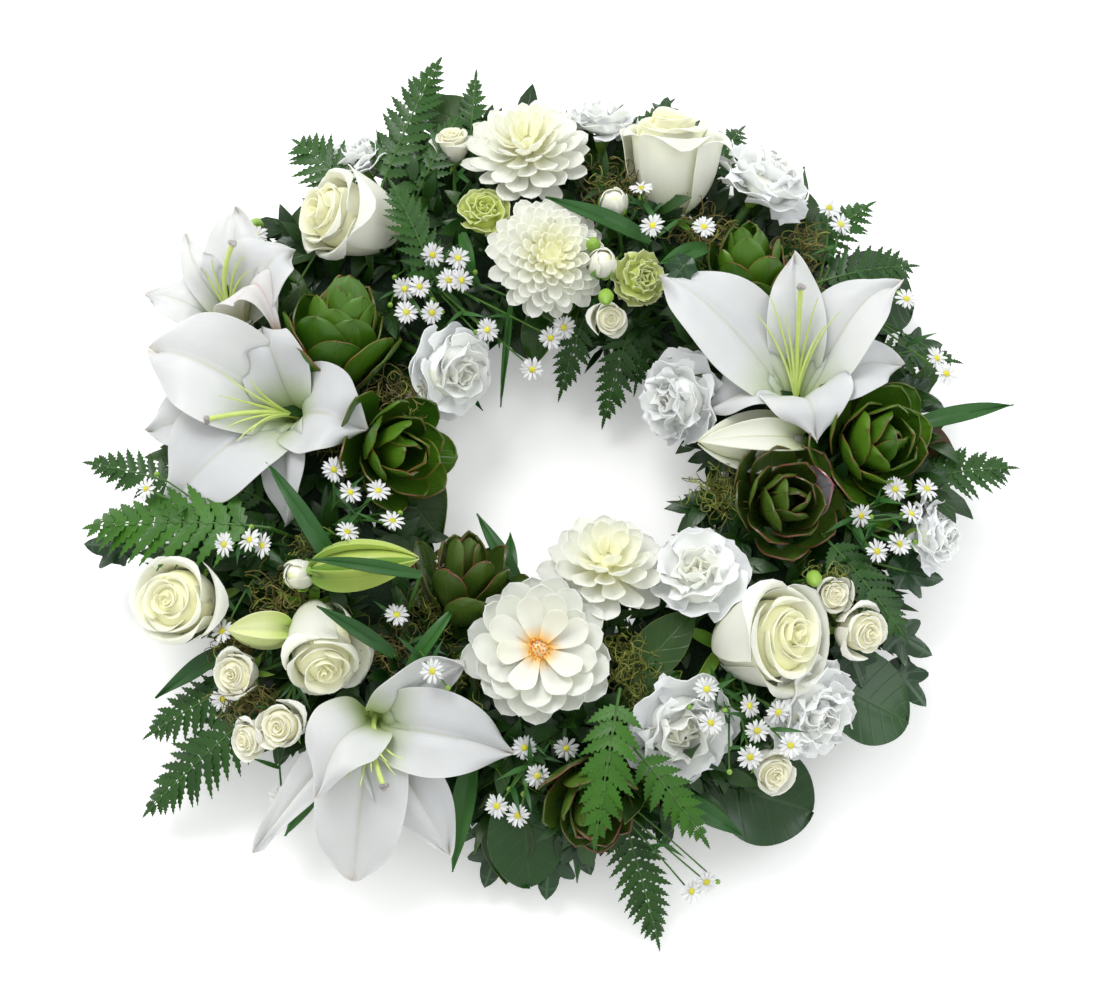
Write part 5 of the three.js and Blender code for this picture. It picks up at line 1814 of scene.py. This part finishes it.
KIND_LOOKS = {
    Kind.FERN: Finish.FERN,
    Kind.BRIGHT_FERN: Finish.FERN_BRIGHT,
    Kind.BROAD: Finish.SALAL,
    Kind.GLOSSY: Finish.GLOSSY,
    Kind.BROWN: Finish.BROWN_BACK,
    Kind.STRAP: Finish.STRAP,
}

IVY_LEAVES = (
    ((-226, -50, 42), 172, 29), ((186, -64, 50), 352, 31), ((182, -96, 46), 335, 32),
    ((172, -84, 54), 325, 28),
    ((186, -114, 38), 310, 30), ((160, -104, 52), 290, 28), ((2, -208, 24), 265, 32),
    ((36, 203, 50), 98, 18),
    ((66, 204, 50), 78, 17), ((78, 97, 98), 225, 20), ((196, 62, 46), 15, 27), ((-24, -206, 26), 250, 30),
    ((194, 40, 50), 340, 29), ((14, -202, 34), 290, 28), ((192, -34, 44), 350, 28),
)

# Each clump of moss is its middle, its radius and whether it is greener.
MOSS = (
    ((-81, 28, 62), 14, False), ((36, 152, 62), 18, False), ((88, 126, 56), 18, False),
    ((-143, -84, 60), 16, False), ((-158, -140, 52), 12, False),
    ((42, -120, 64), 13, True), ((-84, -110, 58), 18, False), ((-60, -92, 56), 14, True),
    ((-166, -108, 54), 12, False),
    ((94, -24, 56), 13, True), ((52, -138, 60), 12, True), ((16, -96, 62), 10, False),
    ((-44, -124, 60), 12, True),
    ((152, -84, 62), 11, True), ((-118, 10, 58), 12, False), ((-126, -66, 58), 14, True),
    ((146, 120, 54), 12, False),
)


@dataclass
class LeafyStem:
    """A leafy stem in place of its CAD node: the leaves that the table names."""

    node: str
    rows: tuple[tuple, ...]
    seed: int

    def build(self) -> bpy.types.Object:
        """Builds the stem and its leaves as one piece.

        Returns:
            The piece.
        """
        bunch = Bunch()
        draw = random.Random(self.seed)
        for number, (kind, root, tip, width, lift) in enumerate(self.rows):
            finish = KIND_LOOKS[kind]
            if kind in (Kind.FERN, Kind.BRIGHT_FERN):
                gap = 13 if kind is Kind.BRIGHT_FERN else 9.5
                pairs = 3 + round((Vector(tip) - Vector(root)).length / gap)
                add_frond(bunch, finish, root, tip, width, lift, draw, pairs, draw.uniform(-12, 12))
            else:
                roll = draw.uniform(-14, 14)
                add_leaf(bunch, finish, root, tip, width, lift, roll, draw.random(), number,
                    kind is Kind.STRAP)
            start = Vector(root)
            bunch.add(tube([start, start.lerp(foot_of(start), 0.5), foot_of(start)], (1.0, 1.4), 6),
                Finish.STEM)
        return bunch.piece(self.node + "_leaves", self.node)


@dataclass(frozen=True)
class Zone:
    """One band of undergrowth: how many sprigs, where they root and which way they lie.

    Each pair is the least and the most.
    """

    name: str
    sprigs: int
    radius: tuple[float, float]
    height: tuple[float, float]
    outward: tuple[float, float]
    rise: tuple[float, float]
    length: tuple[float, float]
    leaf: tuple[float, float]


ZONES = (
    Zone("top", 230, (108, 168), (42, 46), (-0.8, 0.8), (0.25, 0.6), (18, 30), (0.75, 1.2)),
    Zone("outer", 195, (158, 174), (24, 46), (0.9, 1.1), (-0.75, 0.3), (24, 46), (0.8, 1.5)),
    Zone("inner", 96, (102, 112), (24, 46), (-1.1, -0.9), (-0.8, 0.2), (14, 27), (0.7, 1.1)),
)


@dataclass
class Undergrowth:
    """The dark small leaves that hide the foam: on top, over the outer edge and into the opening."""

    zones: tuple[Zone, ...]
    clear: tuple[Point, ...]  # throats that no leaf may grow up into
    seed: int = 5
    clearance: float = 21.0

    def sprig(self, bunch: Bunch, draw: random.Random, root: Vector, way: Vector, zone: Zone) -> None:
        """Adds a twig with small leaves in turn down it.

        Args:
            bunch: Where it goes.
            draw: Its random numbers.
            root: Its foot.
            way: Which way it grows.
            zone: The band that it belongs to.
        """
        way = way.normalized()
        length = draw.uniform(*zone.length)
        end = root + way * length
        bunch.add(tube([root, root.lerp(end, 0.5), end], (0.7, 0.4), 4), Finish.STEM, None, 0.1)
        shade = draw.uniform(-0.1, 0.55)
        narrow = draw.random() < 0.35
        spine = ((0, 0, 0), (6, 0, 1.5), (14, 0, 1.8), (20, 0, -1.5))
        form = Blade(
            spine, 4.8 if narrow else 10.5, (0.4, 1.2, 1.2, 0.6), 2.3, 0.85, (24, 14), thickness=0.4,
            rows=4,
            columns=2, seed=draw.randrange(3),
        )
        leaves = round(length / 4.4)
        for i in range(leaves):
            start = root.lerp(end, (i + 0.6) / leaves)
            swing = Matrix.Rotation(i * 2.3 + draw.uniform(-0.4, 0.4), 3, way)
            aside = way.cross(Vector((0.2, 0.3, 1))).normalized()
            leaf_way = way * 0.8 + swing @ aside * draw.uniform(0.5, 1.0)
            leaf_way.z = leaf_way.z * 0.6
            size = draw.uniform(*zone.leaf)
            up = Vector((draw.uniform(-0.4, 0.4), draw.uniform(-0.4, 0.4), 1))
            finish = Finish.FILLER if draw.random() < 0.85 else Finish.SALAL
            bunch.add(sheet(form), finish, facing(start, leaf_way, up, (size,) * 3),
                shade + draw.uniform(0, 0.4))

    def build(self) -> list[bpy.types.Object]:
        """Builds the undergrowth as one piece for each zone.

        Returns:
            The pieces, one for each zone.
        """
        draw = random.Random(self.seed)
        made = []
        for zone in self.zones:
            bunch = Bunch()
            for i in range(zone.sprigs):
                turn = (i + draw.random()) * math.tau / zone.sprigs
                ahead = Vector((math.cos(turn), math.sin(turn), 0))
                sideways = Vector((-ahead.y, ahead.x, 0)) * draw.uniform(-0.9, 0.9)
                root = ahead * draw.uniform(*zone.radius) + Vector((0, 0, draw.uniform(*zone.height)))
                way = ahead * draw.uniform(*zone.outward) + sideways + Vector((0, 0,
                    draw.uniform(*zone.rise)))
                if all((root.xy - Vector(throat).xy).length > self.clearance for throat in self.clear):
                    self.sprig(bunch, draw, root, way, zone)
            made.append(bunch.piece("undergrowth_" + zone.name))
        return made


@dataclass
class EdgeLeaves:
    """Large dark leaves that lie out from the foam all round and close the outline."""

    count: int = 46
    seed: int = 9

    def build(self) -> bpy.types.Object:
        """Builds all the edge leaves as one piece.

        Returns:
            The piece.
        """
        bunch = Bunch()
        draw = random.Random(self.seed)
        for i in range(self.count):
            turn = (i + draw.uniform(0.1, 0.9)) * math.tau / self.count
            veer = turn + draw.uniform(-0.22, 0.22)
            near, far = draw.uniform(158, 166), draw.uniform(188, 202)
            low = draw.uniform(8, 34)
            root = (near * math.cos(turn), near * math.sin(turn), low + 8)
            tip = (far * math.cos(veer), far * math.sin(veer), low)
            finish = draw.choice((Finish.GLOSSY, Finish.SALAL, Finish.GLOSSY))
            form = Blade(
                ((0, 0, 0), (14, 0, 6), (34, 0, 6), (46, 0, -2)), 26, (0.3, 1.25, 1.4, 0.6), 2.4, 0.75,
                (22, 14),
                ruffle=1.0, groove=0.6, thickness=0.6, rows=10, columns=6, seed=i % 4,
            )
            way = Vector(tip) - Vector(root)
            size = way.length / 46
            place = facing(Vector(root), way, Vector((draw.uniform(-0.4, 0.4), 0, 1)), (size,) * 3)
            bunch.add(sheet(form), finish, place, draw.random())
            foot = foot_of(Vector(root))
            bunch.add(tube([root, foot], (1.0, 1.0), 5), Finish.STEM, None, 0.2)
        return bunch.piece("edge_leaves")


@dataclass
class Ivy:
    """Lobed ivy leaves on thin stalks. Each is its place, the way it points and its size."""

    leaves: tuple[tuple[Point, float, float], ...]
    seed: int = 6

    def build(self) -> bpy.types.Object:
        """Builds all the ivy as one piece.

        Returns:
            The piece.
        """
        bunch = Bunch()
        draw = random.Random(self.seed)
        for place, toward, length in self.leaves:
            at = Vector(place)
            turn = math.radians(toward)
            way = Vector((math.cos(turn), math.sin(turn), draw.uniform(-0.45, -0.1)))
            up = Vector((draw.uniform(-0.3, 0.3), draw.uniform(-0.3, 0.3), 1))
            size = length / 20
            bunch.add(ivy_leaf(), Finish.IVY, facing(at, way, up, (size, size, size)), draw.random())
            foot = foot_of(at)
            line = curve([at + way * size * 6, at - way * 8, foot + Vector((0, 0, 24)), foot], 9)
            bunch.add(tube(line, (0.7, 0.9), 5), Finish.STEM, None, draw.random())
        return bunch.piece("ivy_leaves")


@dataclass
class Moss:
    """Clumps of curly moss on the foam between the flowers."""

    clumps: tuple[tuple[Point, float, bool], ...]
    strands: int = 70
    seed: int = 7

    def build(self) -> bpy.types.Object:
        """Builds all the moss as one piece.

        Returns:
            The piece.
        """
        bunch = Bunch()
        draw = random.Random(self.seed)
        for middle, radius, green in self.clumps:
            centre = Vector(middle) + Vector((0, 0, 6))
            for _ in range(self.strands):
                at = centre + Vector([draw.gauss(0, radius * 0.5) for _ in range(2)] + [draw.uniform(-8,
                    4)])
                way = Vector([draw.uniform(-1, 1) for _ in range(3)]).normalized()
                spin = Vector([draw.uniform(-1, 1) for _ in range(3)]).normalized()
                points = [at.copy()]
                for _ in range(draw.randint(8, 13)):
                    way = (Matrix.Rotation(draw.uniform(0.2, 1.1), 3, spin) @ way).normalized()
                    spin = (spin + Vector([draw.uniform(-0.6, 0.6) for _ in range(3)])).normalized()
                    pull = (centre - at) * (0.035 if (at - centre).length > radius else 0)
                    at = at + way * draw.uniform(1.6, 3.0) + pull
                    points.append(at.copy())
                finish = Finish.MOSS_GREEN if green or draw.random() < 0.3 else Finish.MOSS
                bunch.add(tube(points, (0.42, 0.3, 0.22), 3), finish, None, draw.random())
        return bunch.piece("curly_moss")


@dataclass
class GreenBuds:
    """Closed green buds between the flowers."""

    buds: tuple[Point, ...] = ((25, 107, 94), (32, 77, 92), (-164, 137, 52), (141, -80, 84),
        (-164, 126, 54))
    seed: int = 8

    def build(self) -> bpy.types.Object:
        """Builds the buds as one piece.

        Returns:
            The piece.
        """
        bunch = Bunch()
        draw = random.Random(self.seed)
        for place in self.buds:
            at = Matrix.Translation(Vector(place)) @ Matrix.Rotation(draw.uniform(0.2, 0.9), 4, "X")
            bunch.add(egg(((0, -5), (5.5, -5), (6.0, 1), (2.0, 6), (0, 8)), 14, 5, 0.12), Finish.SEPAL, at,
                0.9)
            start = at @ Vector((0, 0, -4))
            foot = foot_of(start)
            bunch.add(tube(curve([start, start - Vector((0, 0, 14)), foot], 8), (1.0, 1.3), 6), Finish.STEM)
        return bunch.piece("green_buds")


# Studio


@dataclass
class Studio:
    """The floor, the lights and the camera."""

    elevation: float = 72.0
    distance: float = 1.5
    target: Point = (0.0, -22.0, 40.0)
    frame_width: float = 0.6017  # what the image spans at the target
    sensor: float = 36.0

    def floor(self) -> None:
        """Adds the pale floor that the wreath lies on."""
        bpy.ops.object.select_all(action="DESELECT")
        bpy.ops.mesh.primitive_plane_add(size=12, location=(0, 0, -0.0002))
        floor = bpy.context.object
        floor.name = "studio_floor"
        bpy.ops.object.transform_apply(location=True, rotation=True, scale=True)
        floor.data.materials.append(Finish.FLOOR.material)

    def light(self, name: str, at: Point, size: float, power: float,
            colour: Colour = (1.0, 1.0, 1.0)) -> None:
        """Adds a soft area light that points at the ring's middle.

        Args:
            name: The light's name.
            at: Where it hangs.
            size: How wide it is.
            power: Its power, in watts.
            colour: Its colour.
        """
        data = bpy.data.lights.new(name, "AREA")
        data.shape, data.size, data.energy, data.color = "DISK", size, power, colour
        lamp = bpy.data.objects.new(name, data)
        bpy.context.scene.collection.objects.link(lamp)
        lamp.location = Vector(at)
        lamp.rotation_mode = "QUATERNION"
        lamp.rotation_quaternion = (-Vector(at)).to_track_quat("-Z", "Y")

    def build(self) -> None:
        """Builds the studio."""
        self.floor()
        world = bpy.data.worlds.new("studio")
        world.use_nodes = True
        world.node_tree.nodes["Background"].inputs["Color"].default_value = (0.985, 1.0, 0.985, 1.0)
        world.node_tree.nodes["Background"].inputs["Strength"].default_value = 0.86
        scene = bpy.context.scene
        scene.world = world
        scene.view_settings.view_transform = "Standard"
        self.light("key", (-0.6, 1.0, 1.8), 1.1, 25.0)
        self.light("fill", (1.3, 0.3, 1.2), 1.0, 5.0, (0.93, 0.97, 1.0))
        camera = bpy.data.objects.new("camera", bpy.data.cameras.new("camera"))
        scene.collection.objects.link(camera)
        scene.camera = camera
        angle = math.radians(self.elevation)
        target = Vector(self.target) * MM + RING_MIDDLE
        back = Vector((0, -math.cos(angle), math.sin(angle)))
        camera.location = target + back * self.distance
        camera.rotation_mode = "QUATERNION"
        camera.rotation_quaternion = (-back).to_track_quat("-Z", "Y")
        camera.data.sensor_width = self.sensor
        camera.data.lens = self.sensor * self.distance / self.frame_width
        camera.data.clip_start, camera.data.clip_end = 0.05, 30


def dress_cad() -> None:
    """Gives the foam and the tray their finishes."""
    for node, finish in (("foam", Finish.FOAM), ("tray", Finish.TRAY)):
        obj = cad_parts[node]
        for place in obj.material_slots:
            place.material = finish.material


def main() -> None:
    """Builds the wreath's pieces in order, then the studio."""
    logging.basicConfig(level=logging.INFO, format="%(message)s")
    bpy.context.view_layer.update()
    dress_cad()
    for flower in (*LILIES, *ROSES, *DAHLIAS, *RUFFLED, *LEUCADENDRONS, *BUDS):
        flower.build()
    for spray in (*ROSE_SPRAYS, *ASTER_SPRAYS):
        spray.build()
    for seed, (node, rows) in enumerate(FOLIAGE.items()):
        LeafyStem(node, rows, 100 + seed).build()
    Undergrowth(ZONES, tuple(lily.throat for lily in LILIES)).build()
    EdgeLeaves().build()
    Ivy(IVY_LEAVES).build()
    Moss(MOSS).build()
    GreenBuds().build()
    Studio().build()
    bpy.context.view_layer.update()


if __name__ == "__main__":
    main()
